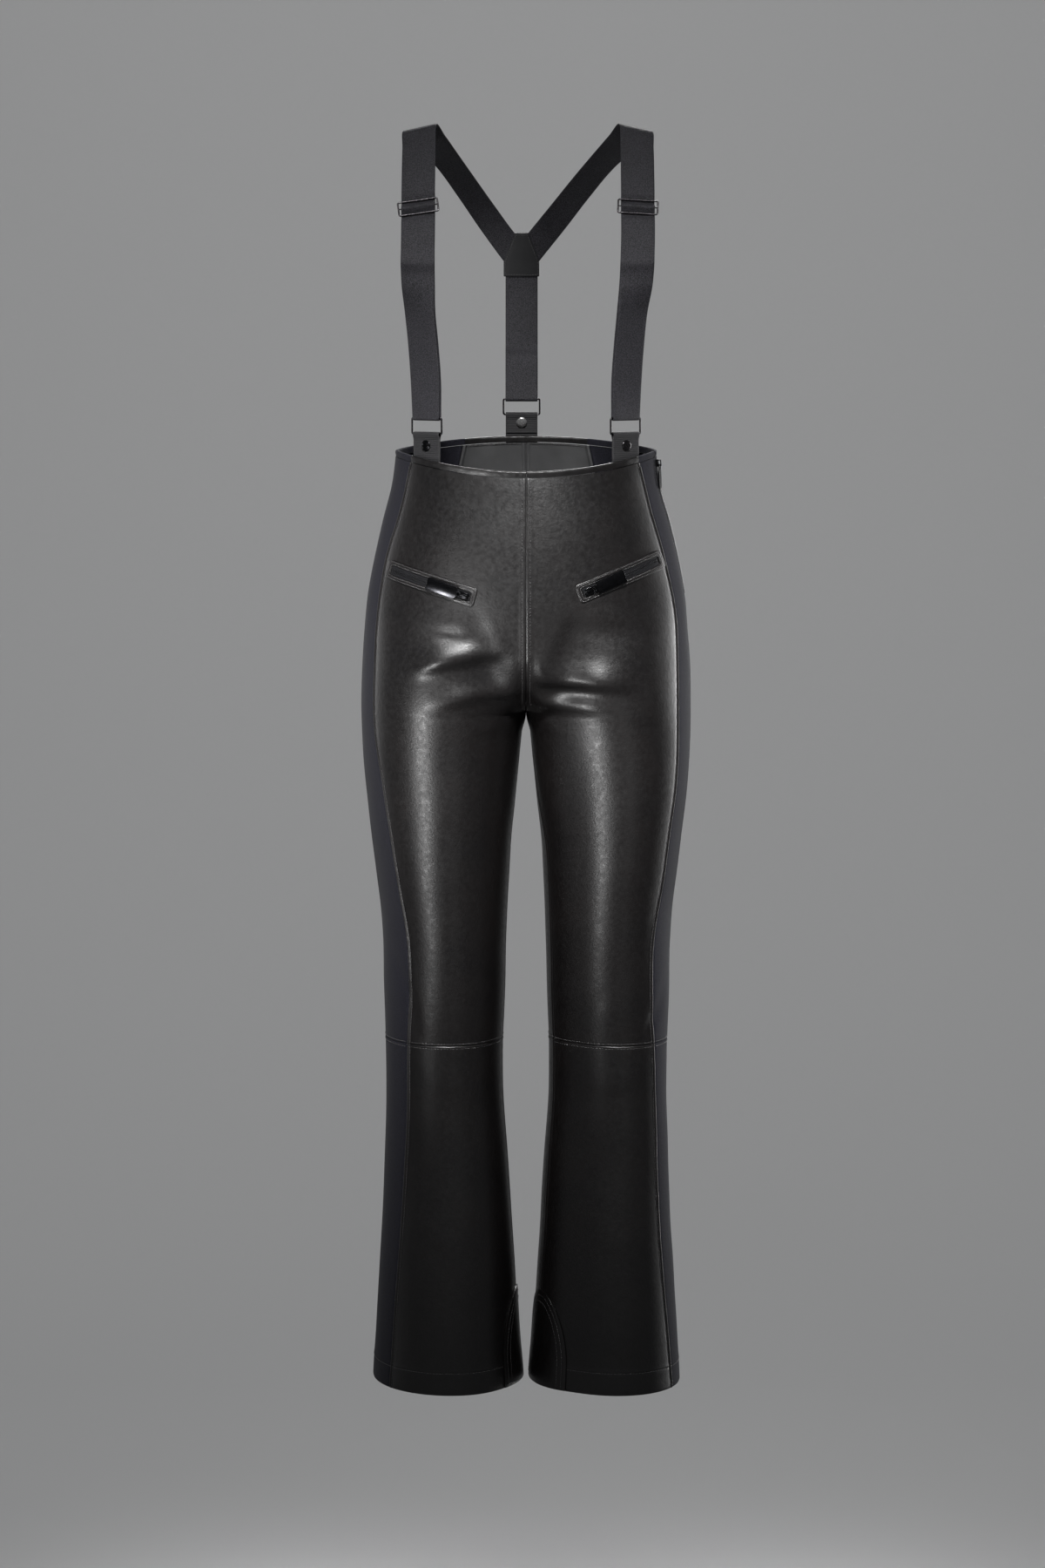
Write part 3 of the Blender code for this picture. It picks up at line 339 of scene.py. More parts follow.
def twist(side, level):
    return math.radians(LEG_TWIST[side]) * smoothstep((CROTCH - level) / LEG_TWIST_REACH)


def section(level):
    """The middle and the reach of one leg's section, seen from the front."""
    opened = smoothstep((CROTCH - level) / LEGS_PART)
    gap = SEAM_GAP / 2 + (np.maximum(GAP(level), SEAM_GAP / 2) - SEAM_GAP / 2) * opened
    outer = OUTER(level)
    return (outer + gap) / 2, (outer - gap) / 2


def turn_at(side, level, across, face):
    """The share of the way round, from the inseam by the front, of a place on one face."""
    middle, reach = section(level)
    angle = np.arccos(np.clip((across - middle) / reach, -1, 1))
    sign = -1 if face == "front" else 1
    return (sign * angle - twist(side, level) + math.pi) / (2 * math.pi)


def bare_form(side, level, turn):
    """Hips that become two legs at the crotch, each leg a little turned, with no folds."""
    middle, reach = section(level)
    angle = math.pi * (2 * turn - 1) + twist(side, level)
    across = middle + reach * np.cos(angle)
    is_front = np.sin(angle) < 0
    outboard = smoothstep((across - OUTBOARD_FROM) / OUTBOARD_RUN)
    rise = np.where(is_front, FRONT_RISE_CURVE, BACK_RISE_CURVE)
    rise = rise * (1 + np.where(is_front, FRONT_LEG_START, BACK_LEG_START) * outboard)
    share = np.clip((CROTCH + rise - level) / rise, 0, 1)
    legs = share**2 + (smoothstep(share) - share**2) * outboard
    hips = 1 - (across / OUTER(level)) ** 2
    fullness = np.sqrt(np.maximum((1 - legs) * hips + legs * np.sin(angle) ** 2, 0))
    depth = np.where(is_front, -FRONT(level), BACK(level)) * fullness
    turned = LEG_TURN[side] * outboard * smoothstep((TURN_START - level) / TURN_RUN)
    depth = depth - turned * (across - middle)
    tilt = np.where(is_front, -WAIST_DIP_FRONT, WAIST_RISE_BACK) * fullness**2
    tilt = tilt * np.clip(1 + level / WAIST_TILT_REACH, 0, 1) ** 2
    return np.stack([side * across, depth, level + tilt], -1)


def outward(side, level, turn):
    """Unit vectors out of the bare form."""
    turn_step, level_step = 0.002, 0.5
    turn = np.clip(turn, turn_step, 1 - turn_step)
    around = bare_form(side, level, turn + turn_step) - bare_form(side, level, turn - turn_step)
    down = bare_form(side, level - level_step, turn) - bare_form(side, level + level_step, turn)
    return unit(side * np.cross(down, around))


def turn_of_length(side, level, turn, length):
    """The change of turn that moves a point this far round the cloth."""
    step = 0.001
    moved = bare_form(side, level, turn + step) - bare_form(side, level, turn - step)
    return 2 * step * length / np.linalg.norm(moved, axis=-1)


print("waist width", round(2 * float(OUTER(0.0))), "mm, hem width",
      round(float(OUTER(HEM) - GAP(HEM))), "mm")

# %% [markdown]
# ## Folds
# Leather-look cloth is bonded and slightly stiff: where it is pulled between hip, crotch
# and knee it makes long soft ridges with one sharp edge, and fine short creases beside
# them. Each row below is one fold, drawn from one place to another, and a negative height
# is a hollow. A fold has a width above its line, another below it, and a bow. A few long
# waves of no fixed direction on top keep the cloth from looking moulded.

# %% Folds and small waves
FOLD_COLUMNS = "from_x from_level to_x to_level height above below bow"
FOLDS = {
    (RIGHT, "front"): table(
        FOLD_COLUMNS,
        (112, -235, 36, -216, 7.0, 19, 7, 2),
        (102, -197, 62, -204, -2.6, 9, 9, 0),
        (92, -274, 8, -260, 4.0, 14, 5, 2),
        (138, -206, 108, -212, -0.8, 6, 6, 0),
        (86, -190, 52, -184, 0.8, 9, 9, 0),
        (68, -296, 18, -286, -1.0, 8, 8, 2),
        (150, -560, 122, -640, -1.4, 6, 6, 4),
        (74, -600, 34, -636, -0.9, 9, 9, 0),
        (116, -690, 66, -712, 0.7, 12, 12, 0),
        (128, -860, 92, -884, 0.6, 14, 14, 0),
    ),
    (LEFT, "front"): table(
        FOLD_COLUMNS,
        (102, -253, 14, -245, 8.0, 22, 7, 0),
        (80, -280, 10, -273, 3.6, 12, 5, 0),
        (120, -198, 50, -192, -1.4, 11, 11, 0),
        (96, -176, 60, -170, 0.8, 9, 9, 0),
        (64, -300, 18, -290, -1.0, 8, 8, -2),
        (158, -580, 134, -646, -1.5, 6, 6, -4),
        (84, -604, 36, -632, -0.9, 9, 9, 0),
        (118, -694, 70, -708, 0.7, 12, 12, 0),
        (118, -890, 76, -868, 0.6, 14, 14, 0),
    ),
    (RIGHT, "back"): table(
        FOLD_COLUMNS,
        (120, -292, 34, -304, -4.0, 13, 13, 0),
        (110, -330, 40, -344, -2.5, 12, 12, 0),
        (134, -588, 58, -616, -2.2, 14, 12, 3),
        (118, -656, 66, -634, -1.6, 14, 13, 0),
        (96, -316, 30, -322, 1.8, 9, 7, 0),
        (118, -268, 60, -282, 1.6, 11, 8, 2),
        (108, -584, 66, -590, 1.4, 7, 6, 0),
    ),
    (LEFT, "back"): table(
        FOLD_COLUMNS,
        (124, -296, 36, -306, -4.0, 13, 13, 0),
        (114, -336, 44, -350, -2.5, 12, 12, 0),
        (122, -600, 48, -612, -2.0, 15, 12, -3),
        (134, -650, 74, -628, -1.8, 13, 14, 0),
        (98, -318, 32, -326, 1.8, 9, 7, 0),
        (120, -272, 62, -284, 1.6, 11, 8, 2),
        (106, -588, 64, -594, 1.4, 7, 6, 0),
    ),
}
FOLD_END = 26.0


def fold_height(side, points):
    """How far the folds raise the cloth at these points of the bare form."""
    across = points[..., 0] * side
    level = points[..., 2]
    height = np.zeros(across.shape)
    for face, fold in ((face, fold) for face in ("front", "back") for fold in FOLDS[side, face]):
        start = np.array([fold["from_x"], fold["from_level"]], float)
        run = np.array([fold["to_x"], fold["to_level"]], float) - start
        length = np.hypot(*run)
        along = ((across - start[0]) * run[0] + (level - start[1]) * run[1]) / length
        below = ((level - start[1]) * run[0] - (across - start[0]) * run[1]) / length
        share = np.clip(along / length, 0, 1)
        below = below + fold["bow"] * 4 * share * (1 - share)
        ends = smoothstep((along + FOLD_END) / (2 * FOLD_END))
        ends = ends * smoothstep((length + FOLD_END - along) / (2 * FOLD_END))
        on_face = points[..., 1] < 0 if face == "front" else points[..., 1] > 0
        width = np.where(below > 0, fold["below"], fold["above"])
        height += on_face * ends * fold["height"] * np.exp(-((below / width) ** 2))
    clear_of_middle = smoothstep((across - 3) / 14)
    clear_of_side = smoothstep(np.abs(points[..., 1]) / 50)
    return height * clear_of_middle * clear_of_side


dice = np.random.default_rng(7)
WAVES = []
for length, height in ((170, 0.5), (110, 0.22), (75, 0.09), (48, 0.04)):
    for _ in range(3):
        heading = dice.normal(size=3) * (1.0, 1.0, 0.8)
        heading = heading / np.linalg.norm(heading) * 2 * math.pi / length
        WAVES.append((heading, dice.uniform(0, 2 * math.pi), height / 1.7))


def wave_height(points):
    """Small waves of the cloth that run through all its pieces."""
    total = np.zeros(points.shape[:-1])
    for heading, phase, height in WAVES:
        total += height * np.sin(points @ heading + phase)
    below_waist = smoothstep((-points[..., 2] - 12) / 50)
    above_hem = smoothstep((points[..., 2] - HEM) / 40)
    return total * below_waist * (0.4 + 0.6 * above_hem)


def cloth(side, level, turn, out=0.0):
    """Points of the outer face of the cloth, moved out by a distance."""
    level, turn = np.broadcast_arrays(np.asarray(level, float), np.asarray(turn, float))
    points = bare_form(side, level, turn)
    raised = fold_height(side, points) + wave_height(points) + out
    return points + outward(side, level, turn) * raised[..., None]


print(sum(map(len, FOLDS.values())), "folds,", len(WAVES), "small waves")

# %% [markdown]
# ## Cloth and other finishes
# Leather-look cloth is a thin coat on a knit: a fine pebble grain of about two millimetres,
# shallow creases of a centimetre or two, and a gloss that changes softly from place to
# place. Each finish below is made of a few noise and wave textures in the piece's own
# millimetres, which bend the light a little and vary the gloss. A finish also holds the
# name of the colour slot that its pieces belong to.

# %% Finishes


class Finish:
    """A material, with short ways to add the texture nodes that it needs."""

    def __init__(self, name, slot, colour, roughness, metallic=0.0):
        self.slot = slot
        self.made = plain_material(name, colour, roughness, metallic)
        self.nodes = self.made.node_tree.nodes
        self.links = self.made.node_tree.links
        self.shader = self.nodes["Principled BSDF"]
        self.places = self.nodes.new("ShaderNodeTexCoord")
        self.last_bump = None

    def fixed(self, **numbers):
        for socket, value in numbers.items():
            self.shader.inputs[socket.replace("_", " ")].default_value = value

    def texture(self, kind, size, stretch=(1, 1, 1), source="Object", **numbers):
        """A texture whose cells are about this many millimetres across."""
        texture = self.nodes.new("ShaderNodeTex" + kind)
        for socket, value in numbers.items():
            texture.inputs[socket].default_value = value
        mapping = self.nodes.new("ShaderNodeMapping")
        mapping.inputs["Scale"].default_value = [1 / (size * MM * s) for s in stretch]
        self.links.new(self.places.outputs[source], mapping.inputs["Vector"])
        self.links.new(mapping.outputs["Vector"], texture.inputs["Vector"])
        return texture

    def noise(self, size, detail, stretch=(1, 1, 1), distortion=0.0):
        numbers = {"Scale": 1.0, "Detail": detail, "Distortion": distortion}
        return self.texture("Noise", size, stretch, **numbers).outputs["Fac"]

    def grain(self, size):
        texture = self.texture("Voronoi", size, Scale=1.0)
        texture.feature = "SMOOTH_F1"
        return texture.outputs["Distance"]

    def ribs(self, size, direction):
        texture = self.texture("Wave", size, source="UV", Scale=0.314)
        texture.bands_direction = direction
        return texture.outputs["Fac"]

    def bump(self, height, depth, strength):
        """Bends the light as relief of this depth in millimetres would."""
        node = self.nodes.new("ShaderNodeBump")
        node.inputs["Distance"].default_value = depth * MM
        node.inputs["Strength"].default_value = strength
        self.links.new(height, node.inputs["Height"])
        if self.last_bump:
            self.links.new(self.last_bump, node.inputs["Normal"])
        self.last_bump = node.outputs["Normal"]
        self.links.new(self.last_bump, self.shader.inputs["Normal"])

    def between(self, share, low, high, start=0.3, end=0.7):
        """A number that runs from low to high as the share runs from start to end."""
        node = self.nodes.new("ShaderNodeMapRange")
        self.links.new(share, node.inputs["Value"])
        limits = {"From Min": start, "From Max": end, "To Min": low, "To Max": high}
        for socket, value in limits.items():
            node.inputs[socket].default_value = value
        return node.outputs["Result"]

    def vary_roughness(self, noise, low, high):
        share = self.between(self.noise(*noise), low, high)
        self.links.new(share, self.shader.inputs["Roughness"])

    def vary_colour(self, noise, dark, light, start=0.3, end=0.7):
        node = self.nodes.new("ShaderNodeMix")
        node.data_type = "RGBA"
        self.links.new(self.between(self.noise(*noise), 0, 1, start, end), node.inputs[0])
        node.inputs[6].default_value = (*dark, 1)
        node.inputs[7].default_value = (*light, 1)
        self.links.new(node.outputs[2], self.shader.inputs["Base Color"])


leather = Finish("black_leather_look", "leather_cloth", (0.012, 0.011, 0.011), 0.36)
leather.vary_colour((60, 3), (0.0026, 0.0021, 0.0022), (0.0046, 0.0036, 0.0035))
leather.vary_roughness((5, 4), 0.34, 0.45)
leather.bump(leather.noise(30, 4, distortion=0.4), 0.5, 0.3)
leather.bump(leather.noise(6, 4, distortion=0.6), 0.22, 0.4)
leather.bump(leather.grain(2.4), 0.17, 0.5)

# The inner facing's colour is painted far lighter than the leather's: painted light on the inside
# of the trousers, standing in for light that the lamps don't bring there.
facing = Finish("inner_facing_painted_light", "leather_cloth", (0.040, 0.040, 0.041), 0.34)
facing.vary_colour((40, 3), (0.045, 0.045, 0.046), (0.075, 0.075, 0.076))
facing.vary_roughness((6, 4), 0.30, 0.38)
facing.bump(facing.noise(28, 2, distortion=0.6), 1.2, 0.35)
facing.bump(facing.grain(1.8), 0.10, 0.5)

side_knit = Finish("matte_side_cloth", "side_cloth", (0.020, 0.020, 0.025), 0.88)
side_knit.vary_colour((1.1, 2), (0.0070, 0.0070, 0.0100), (0.0160, 0.0158, 0.0220))
side_knit.bump(side_knit.noise(14, 4), 0.6, 0.4)
side_knit.bump(side_knit.noise(0.9, 2, (1, 1, 0.5)), 0.14, 0.8)
side_knit.fixed(Sheen_Weight=0.03, Sheen_Roughness=0.45, Specular_IOR_Level=0.12)

elastic_weave = Finish("ribbed_elastic", "elastic", (0.022, 0.022, 0.026), 0.68)
elastic_weave.vary_colour((0.9, 3), (0.002, 0.002, 0.003), (0.036, 0.034, 0.042), 0.40, 0.62)
elastic_weave.bump(elastic_weave.ribs(1.5, "X"), 0.16, 0.7)
elastic_weave.bump(elastic_weave.ribs(1.1, "Y"), 0.12, 0.7)
elastic_weave.fixed(Sheen_Weight=0.08, Sheen_Roughness=0.4, Specular_IOR_Level=0.4)

tab_weave = Finish("ribbed_webbing", "webbing", (0.022, 0.022, 0.025), 0.7)
tab_weave.vary_colour((1.0, 2), (0.005, 0.005, 0.006), (0.012, 0.011, 0.013))
tab_weave.bump(tab_weave.ribs(1.7, "Y"), 0.35, 0.9)
tab_weave.fixed(Sheen_Weight=0.1, Sheen_Roughness=0.5)

yoke_hide = Finish("smooth_yoke_leather", "yoke_leather", (0.034, 0.034, 0.036), 0.5)
yoke_hide.vary_colour((12, 3), (0.008, 0.008, 0.009), (0.013, 0.013, 0.014))
yoke_hide.vary_roughness((5, 3), 0.46, 0.58)
yoke_hide.bump(yoke_hide.grain(1.0), 0.06, 0.5)

zip_cloth = Finish("woven_zip_tape", "zip_tape", (0.014, 0.014, 0.016), 0.7)
zip_cloth.vary_colour((0.8, 2), (0.004, 0.004, 0.005), (0.009, 0.009, 0.010))
zip_cloth.bump(zip_cloth.noise(0.7, 1), 0.12, 0.8)
zip_cloth.fixed(Specular_IOR_Level=0.15)

zip_nylon = Finish("zip_teeth", "zip_tape", (0.022, 0.022, 0.024), 0.38)
zip_nylon.vary_colour((3, 2), (0.007, 0.007, 0.008), (0.013, 0.013, 0.014))

# The thread is charcoal, and its colour is painted lighter still: painted sheen, so that the rows
# of stitches show as dotted bright lines.
thread_with_painted_sheen = Finish("thread_painted_sheen", "leather_cloth", (0.030, 0.029, 0.030), 0.5)
thread_with_painted_sheen.vary_colour((1.5, 2), (0.034, 0.033, 0.034), (0.066, 0.063, 0.064))
thread_with_painted_sheen.bump(thread_with_painted_sheen.noise(0.35, 1), 0.06, 0.7)


def metal(name, slot, colour, roughness, spread):
    made = Finish(name, slot, colour, roughness, 1.0)
    bright = tuple(min(1.0, c * 1.25) for c in colour)
    made.vary_colour((4, 3), tuple(c * 0.8 for c in colour), bright)
    made.vary_roughness((1.2, 3), roughness - spread, roughness + spread)
    made.bump(made.noise(0.6, 2), 0.02, 0.5)
    return made


black_metal = metal("black_nickel", "black_metal", (0.022, 0.022, 0.024), 0.20, 0.05)
gunmetal = metal("dark_gunmetal", "gunmetal", (0.050, 0.047, 0.050), 0.24, 0.06)
silver = metal("polished_silver", "silver", (0.62, 0.61, 0.60), 0.24, 0.06)
print("finishes:", [m.name for m in bpy.data.materials])

# %% [markdown]
# ## Cloth as closed walls
# Every piece of cloth here has two faces and the cut edges between them, as real cloth does.
# A grid of points gives the outer face and another the inner one, and the edges close it.
# Each point also keeps its place on the flat cloth, which the ribbed weaves follow.

# %% Walls, bands and tubes of cloth


def band(first, second):
    """Quads between two rows of point numbers."""
    rows = np.stack([first[:-1], first[1:], second[1:], second[:-1]], axis=-1)
    return rows.reshape(-1, 4)


def belongs(made, nodes=(), body="trousers"):
    """Ties a piece to its body and hides the solids that it stands for."""
    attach(made, body)
    if nodes:
        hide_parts(*nodes)
    return made


def mesh_piece(name, points, faces, caps, flat, finish, nodes=()):
    """An object from points in millimetres, its quads and end caps, and its flat places."""
    mesh = bpy.data.meshes.new(name)
    polygons = [tuple(face) for face in faces.tolist()] + [tuple(cap) for cap in caps]
    mesh.from_pydata((points * MM).tolist(), [], polygons)
    layer = mesh.uv_layers.new(name="flat_cloth")
    corners = np.zeros(len(mesh.loops), dtype=np.int32)
    mesh.loops.foreach_get("vertex_index", corners)
    layer.data.foreach_set("uv", (flat[corners] * MM).astype(np.float32).ravel())
    mesh.materials.append(finish.made)
    made = bpy.data.objects.new(name, mesh)
    bpy.context.scene.collection.objects.link(made)
    choose(made)
    edit()
    bpy.ops.mesh.select_all(action="SELECT")
    bpy.ops.mesh.normals_make_consistent(inside=False)
    leave_edit()
    bpy.ops.object.shade_smooth_by_angle(angle=math.radians(50))
    return belongs(made, nodes)


def flat_places(grid):
    """Where each point of a grid lies when the cloth is flat, in millimetres."""
    across = np.pad(steps_of(grid, 1).cumsum(axis=1), ((0, 0), (1, 0)))
    down = np.pad(steps_of(grid[:, grid.shape[1] // 2]).cumsum(), (1, 0))
    return np.stack([across, np.repeat(down[:, None], grid.shape[1], axis=1)], axis=-1)


def wall(name, outer, inner, finish, nodes=(), inner_finish=None):
    """A closed wall between two grids of points of the same size."""
    rows, columns = outer.shape[:2]
    near = np.arange(rows * columns).reshape(rows, columns)
    far = near + rows * columns
    faces = [band(face[i], face[i + 1]) for face in (near, far) for i in range(rows - 1)]
    faces += [band(near[i], far[i]) for i in (0, -1)]
    faces += [band(near[:, i], far[:, i]) for i in (0, -1)]
    points = np.concatenate([outer.reshape(-1, 3), inner.reshape(-1, 3)])
    flat = np.tile(flat_places(outer).reshape(-1, 2), (2, 1))
    made = mesh_piece(name, points, np.concatenate(faces), [], flat, finish, nodes)
    if inner_finish:
        made.data.materials.append(inner_finish.made)
        quads = (rows - 1) * (columns - 1)
        for face in made.data.polygons[quads : 2 * quads]:
            face.material_index = 1
    return made


def tubes(name, parts, finish, nodes=(), is_loop=False, is_flat=False):
    """Closed tubes as one object, each through its sections of the same number of points."""
    points, flat, faces, caps, start = [], [], [], [], 0
    for sections in parts:
        count, corners = sections.shape[:2]
        number = start + np.arange(count * corners).reshape(count, corners)
        number = np.concatenate([number, number[:, :1]], axis=1)
        faces += [band(number[i], number[i + 1]) for i in range(count - 1)]
        if is_loop:
            faces.append(band(number[-1], number[0]))
        else:
            caps += [number[0, :-1].tolist(), number[-1, :-1].tolist()]
        places = flat_places(sections) if is_flat else np.zeros((count, corners, 2))
        points.append(sections.reshape(-1, 3))
        flat.append(places.reshape(-1, 2))
        start += count * corners
    points, faces, flat = (np.concatenate(parts) for parts in (points, faces, flat))
    return mesh_piece(name, points, faces, caps, flat, finish, nodes)


def tube(name, sections, finish, nodes=(), is_loop=False):
    return tubes(name, [sections], finish, nodes, is_loop, is_flat=True)


print("wall, band and tube are ready")

# %% [markdown]
# ## Panels
# Each panel is one cut of cloth between two lengthwise seams. Its columns crowd together
# at the seams, where the sewn edge rolls over, a row of stitches dents it, and the pull of
# the thread puckers it. The centre seams above the crotch are felled: the allowance lies
# flat under both rows of stitches, so that the seam stands out as a low flat ridge.

# %% Seam profiles
ROW_STEP = 4.6
EDGE_STEPS = np.array([0, 0.5, 1.1, 1.9, 2.8, 3.7, 4.6, 5.6, 7.2, 9.6, 13.0])
CROSS_EDGE_STEPS = np.array([0, 0.5, 1.1, 1.8, 2.6, 3.5, 5.0, 7.5])
STITCH_INSET = 4.6
FELL_HALF = 4.4
KNEE_STITCH = 2.7
HEM_LINE = HEM + HEM_TURN_UP - 2.5


def near(distance, centre, width):
    return np.exp(-(((distance - centre) / width) ** 2))


# the ridges and grooves beside each kind of seam: height, distance from the seam and width
RELIEFS = {
    "leather_edge": ((0.85, 2.0, 1.3), (-1.0, 0, 1.0), (-0.25, STITCH_INSET, 0.8)),
    "side_edge": ((-0.45, 0, 1.6),),
    "zip_lip": ((0.35, 2.0, 1.4), (-0.5, 0, 0.8), (-0.2, STITCH_INSET, 0.8)),
    "felled": ((-0.5, 0, 0.7), (-0.28, FELL_HALF, 0.7)),
    "plain": ((0.3, 2.2, 1.6), (-0.8, 0, 1.2)),
    "knee": ((0.22, 1.4, 1.4), (-0.7, 0, 0.6), (-0.22, KNEE_STITCH, 0.6)),
    "hem": ((0.25, HEM_LINE + 1.8, 1.6), (-0.3, HEM_LINE, 0.9), (-0.6, HEM, 1.0)),
}
FELL_HEIGHT, FELL_SLOPE = 0.48, 1.8


def ridges(kind, distance):
    return sum(height * near(distance, centre, width) for height, centre, width in RELIEFS[kind])


def seam_relief(kind, distance, level):
    """How far cloth stands out at a distance from a seam of this kind."""
    if kind != "inseam":
        return ridges(kind, distance)
    felled = FELL_HEIGHT * (1 - smoothstep((distance - FELL_HALF - 0.5) / FELL_SLOPE))
    felled = felled + ridges("felled", distance)
    share = smoothstep((level - CROTCH) / 12)
    return share * felled + (1 - share) * ridges("plain", distance)


def pucker(distance, level, seed):
    """The small dents that the pull of the thread leaves beside a seam."""
    phase = level / 1.9 + 1.7 * np.sin(level / 31 + seed) + seed
    return 0.09 * np.sin(phase) * near(distance, 6.0, 4.0)


def allowance(distance):
    """The seam allowance, felt as a ridge on the inside."""
    return 1.5 * near(distance, 2.4, 1.7)


def cross_seam_relief(level):
    """The knee seam, sewn down on both sides, and the stitched hem."""
    return ridges("knee", np.abs(level - KNEE)) + ridges("hem", level)


def front_seam(side):
    name = "front_" + dict(SIDES)[side]
    return lambda level: turn_at(side, level, SEAM[name](level), "front")


def back_seam(side):
    return lambda level: turn_at(side, level, SEAM["back"](level), "back")


def zip_seam(level):
    """The seam in the left side panel, which ends up right at the side."""
    lean = SIDE_ZIP_LEAN * np.clip(1 + level / SIDE_ZIP_LENGTH, 0, 1)
    return 0.5 - lean - twist(LEFT, level) / (2 * math.pi)


def zip_lip(sign):
    """One side of the zip seam, drawn back where the zip shows between the cloth."""

    def at(level):
        seam = zip_seam(level)
        half = smoothstep((level + SIDE_ZIP_LENGTH) / 8) * (SIDE_ZIP_OPENING / 2)
        return seam + sign * turn_of_length(LEFT, level, seam, half)

    return at


def level_below_waist(side, turn, drop):
    """The level of the form at which its cloth is this far below the tilted waist."""
    wanted = bare_form(side, 0.0, turn)[..., 2] - drop
    level = np.full(turn.shape, -drop)
    for _ in range(8):
        level = level + wanted - bare_form(side, level, turn)[..., 2]
    return level


print("stitch rows", STITCH_INSET, "and", FELL_HALF, "mm from their seams")

# %% Panels
ROWS = {
    "upper": np.concatenate([
        [-WAIST_EDGE_HEIGHT - 0.5],
        np.linspace(-13, KNEE + 12, int((-13 - KNEE - 12) / ROW_STEP)),
        KNEE + CROSS_EDGE_STEPS[::-1],
    ]),
    "lower": np.concatenate([
        KNEE - CROSS_EDGE_STEPS,
        np.linspace(KNEE - 12, HEM_LINE + 7, int((KNEE - HEM_LINE - 19) / (ROW_STEP * 1.25))),
        HEM_LINE + np.array([4, 2.6, 1.6, 0.8, 0, -0.8, -1.8, -3.5, -7, -11]),
        HEM + np.array([9, 5, 3, 1.8, 1.0, 0.4, 0]),
    ]),
}
WIDE_PANEL = 36


def columns_by_length(side, level, start, end, spacing):
    """Turns of a panel's columns at each level, and their distance from both seams."""
    share = np.linspace(0, 1, 141)
    turn = start[:, None] + (end - start)[:, None] * share
    points = bare_form(side, np.repeat(level[:, None], len(share), axis=1), turn)
    run = np.pad(steps_of(points, 1).cumsum(axis=1), ((0, 0), (1, 0)))
    total = run[:, -1:]
    edge = EDGE_STEPS * np.minimum(1, total / WIDE_PANEL)
    count = max(int(total.max() / spacing), 3)
    inner = edge[:, -1:] + (total - 2 * edge[:, -1:]) * np.linspace(0, 1, count)[1:-1]
    placed = np.concatenate([edge, inner, total - edge[:, ::-1]], axis=1)
    turns = np.array([np.interp(p, r, t) for p, r, t in zip(placed, run, turn)])
    return turns, placed, total - placed


def open_edge(grid, axis, place, share):
    """Draws one edge of a grid back from its seam by half the gap."""
    grid = np.moveaxis(grid, axis, 0)
    toward = unit(grid[2 if place == 0 else -3] - grid[place])
    grid[place] += toward * (SEAM_GAP / 2) * share[..., None]


def panel(name, side, start, end, kinds, finish, spacing):
    """One cut panel above or below the knee, from one seam round to the next."""
    rows = ROWS[name.split("_")[-1]]
    turn, after, before = columns_by_length(side, rows, start(rows), end(rows), spacing)
    level = np.repeat(rows[:, None], turn.shape[1], axis=1)
    if rows[0] > KNEE:
        level[0] = level_below_waist(side, turn[0], WAIST_EDGE_HEIGHT + SEAM_GAP + 0.2)
    relief = seam_relief(kinds[0], after, level) + seam_relief(kinds[1], before, level)
    relief = relief + pucker(after, level, 1.0 + side) + pucker(before, level, 4.0 + side)
    relief = (relief + cross_seam_relief(level)) * smoothstep((-level - 7) / 8)
    thick = np.where(level < HEM_LINE - 0.5, 2 * WALL, WALL) + allowance(after) + allowance(before)
    outer = cloth(side, level, turn, relief)
    inner = cloth(side, level, turn, -thick)
    below_crotch = (level[:, 0] <= CROTCH).astype(float)
    for grid in (outer, inner):
        for kind, place in zip(kinds, (0, -1)):
            open_edge(grid, 1, place, below_crotch if kind == "inseam" else np.ones(len(level)))
        open_edge(grid, 0, 0 if rows[0] == KNEE else -1, np.ones(turn.shape[1]))
    # leather panels get the inner facing on their inside, whose lighter colour is painted light
    inner_finish = facing if finish is leather else None
    made = wall("cloth_" + name, outer, inner, finish, [name], inner_finish)
    bare_form(side, level, turn)
    return made


panels = []
for side, which in SIDES:
    front, back = front_seam(side), back_seam(side)
    for part in ("upper", "lower"):
        panels.append(panel(f"front_{which}_{part}", side, np.zeros_like, front,
                            ("inseam", "leather_edge"), leather, 4.4))
        panels.append(panel(f"back_{which}_{part}", side, back, np.ones_like,
                            ("leather_edge", "inseam"), leather, 5.6))
for name, side, start, end, kinds in (
    ("right_lower", RIGHT, front_seam(RIGHT), back_seam(RIGHT), ("side_edge", "side_edge")),
    ("left_lower", LEFT, front_seam(LEFT), back_seam(LEFT), ("side_edge", "side_edge")),
    ("right_upper", RIGHT, front_seam(RIGHT), back_seam(RIGHT), ("side_edge", "side_edge")),
    ("left_front_upper", LEFT, front_seam(LEFT), zip_lip(-1), ("side_edge", "zip_lip")),
    ("left_back_upper", LEFT, zip_lip(1), back_seam(LEFT), ("zip_lip", "side_edge")),
):
    panels.append(panel("side_" + name, side, start, end, kinds, side_knit, 6.0))
print("panels:", sum(len(p.data.polygons) for p in panels), "quads")

# %% [markdown]
# ## Sewing
# A row of topstitching is many short stitches of the same length. One stitch is modelled as
# a thread that rises between two needle holes, and it is repeated along a line on the
# cloth at a fixed pitch. The folded edge beside the row swells between the stitches and is
# pinched at each of them, so it is a thin roll with the same pitch.

# %% Stitches and pinched edges
PITCH = 3.5
THREAD, THREAD_HIGH = 0.34, 0.28
STITCH_LENGTH = 2.9
STITCH_RINGS = ((-1, 0.45, -0.25), (-0.45, 1, 0.16), (0.45, 1, 0.16), (1, 0.45, -0.25))
ROLL_STEP = 0.9
EDGE_INSET = 1.7
STITCH_POINTS = np.array([
    [(along * STITCH_LENGTH / 2,
      radius * THREAD * math.cos(angle),
      rise + radius * THREAD_HIGH * math.sin(angle))
     for angle in np.radians(np.arange(5) * 72 + 18)]
    for along, radius, rise in STITCH_RINGS
])


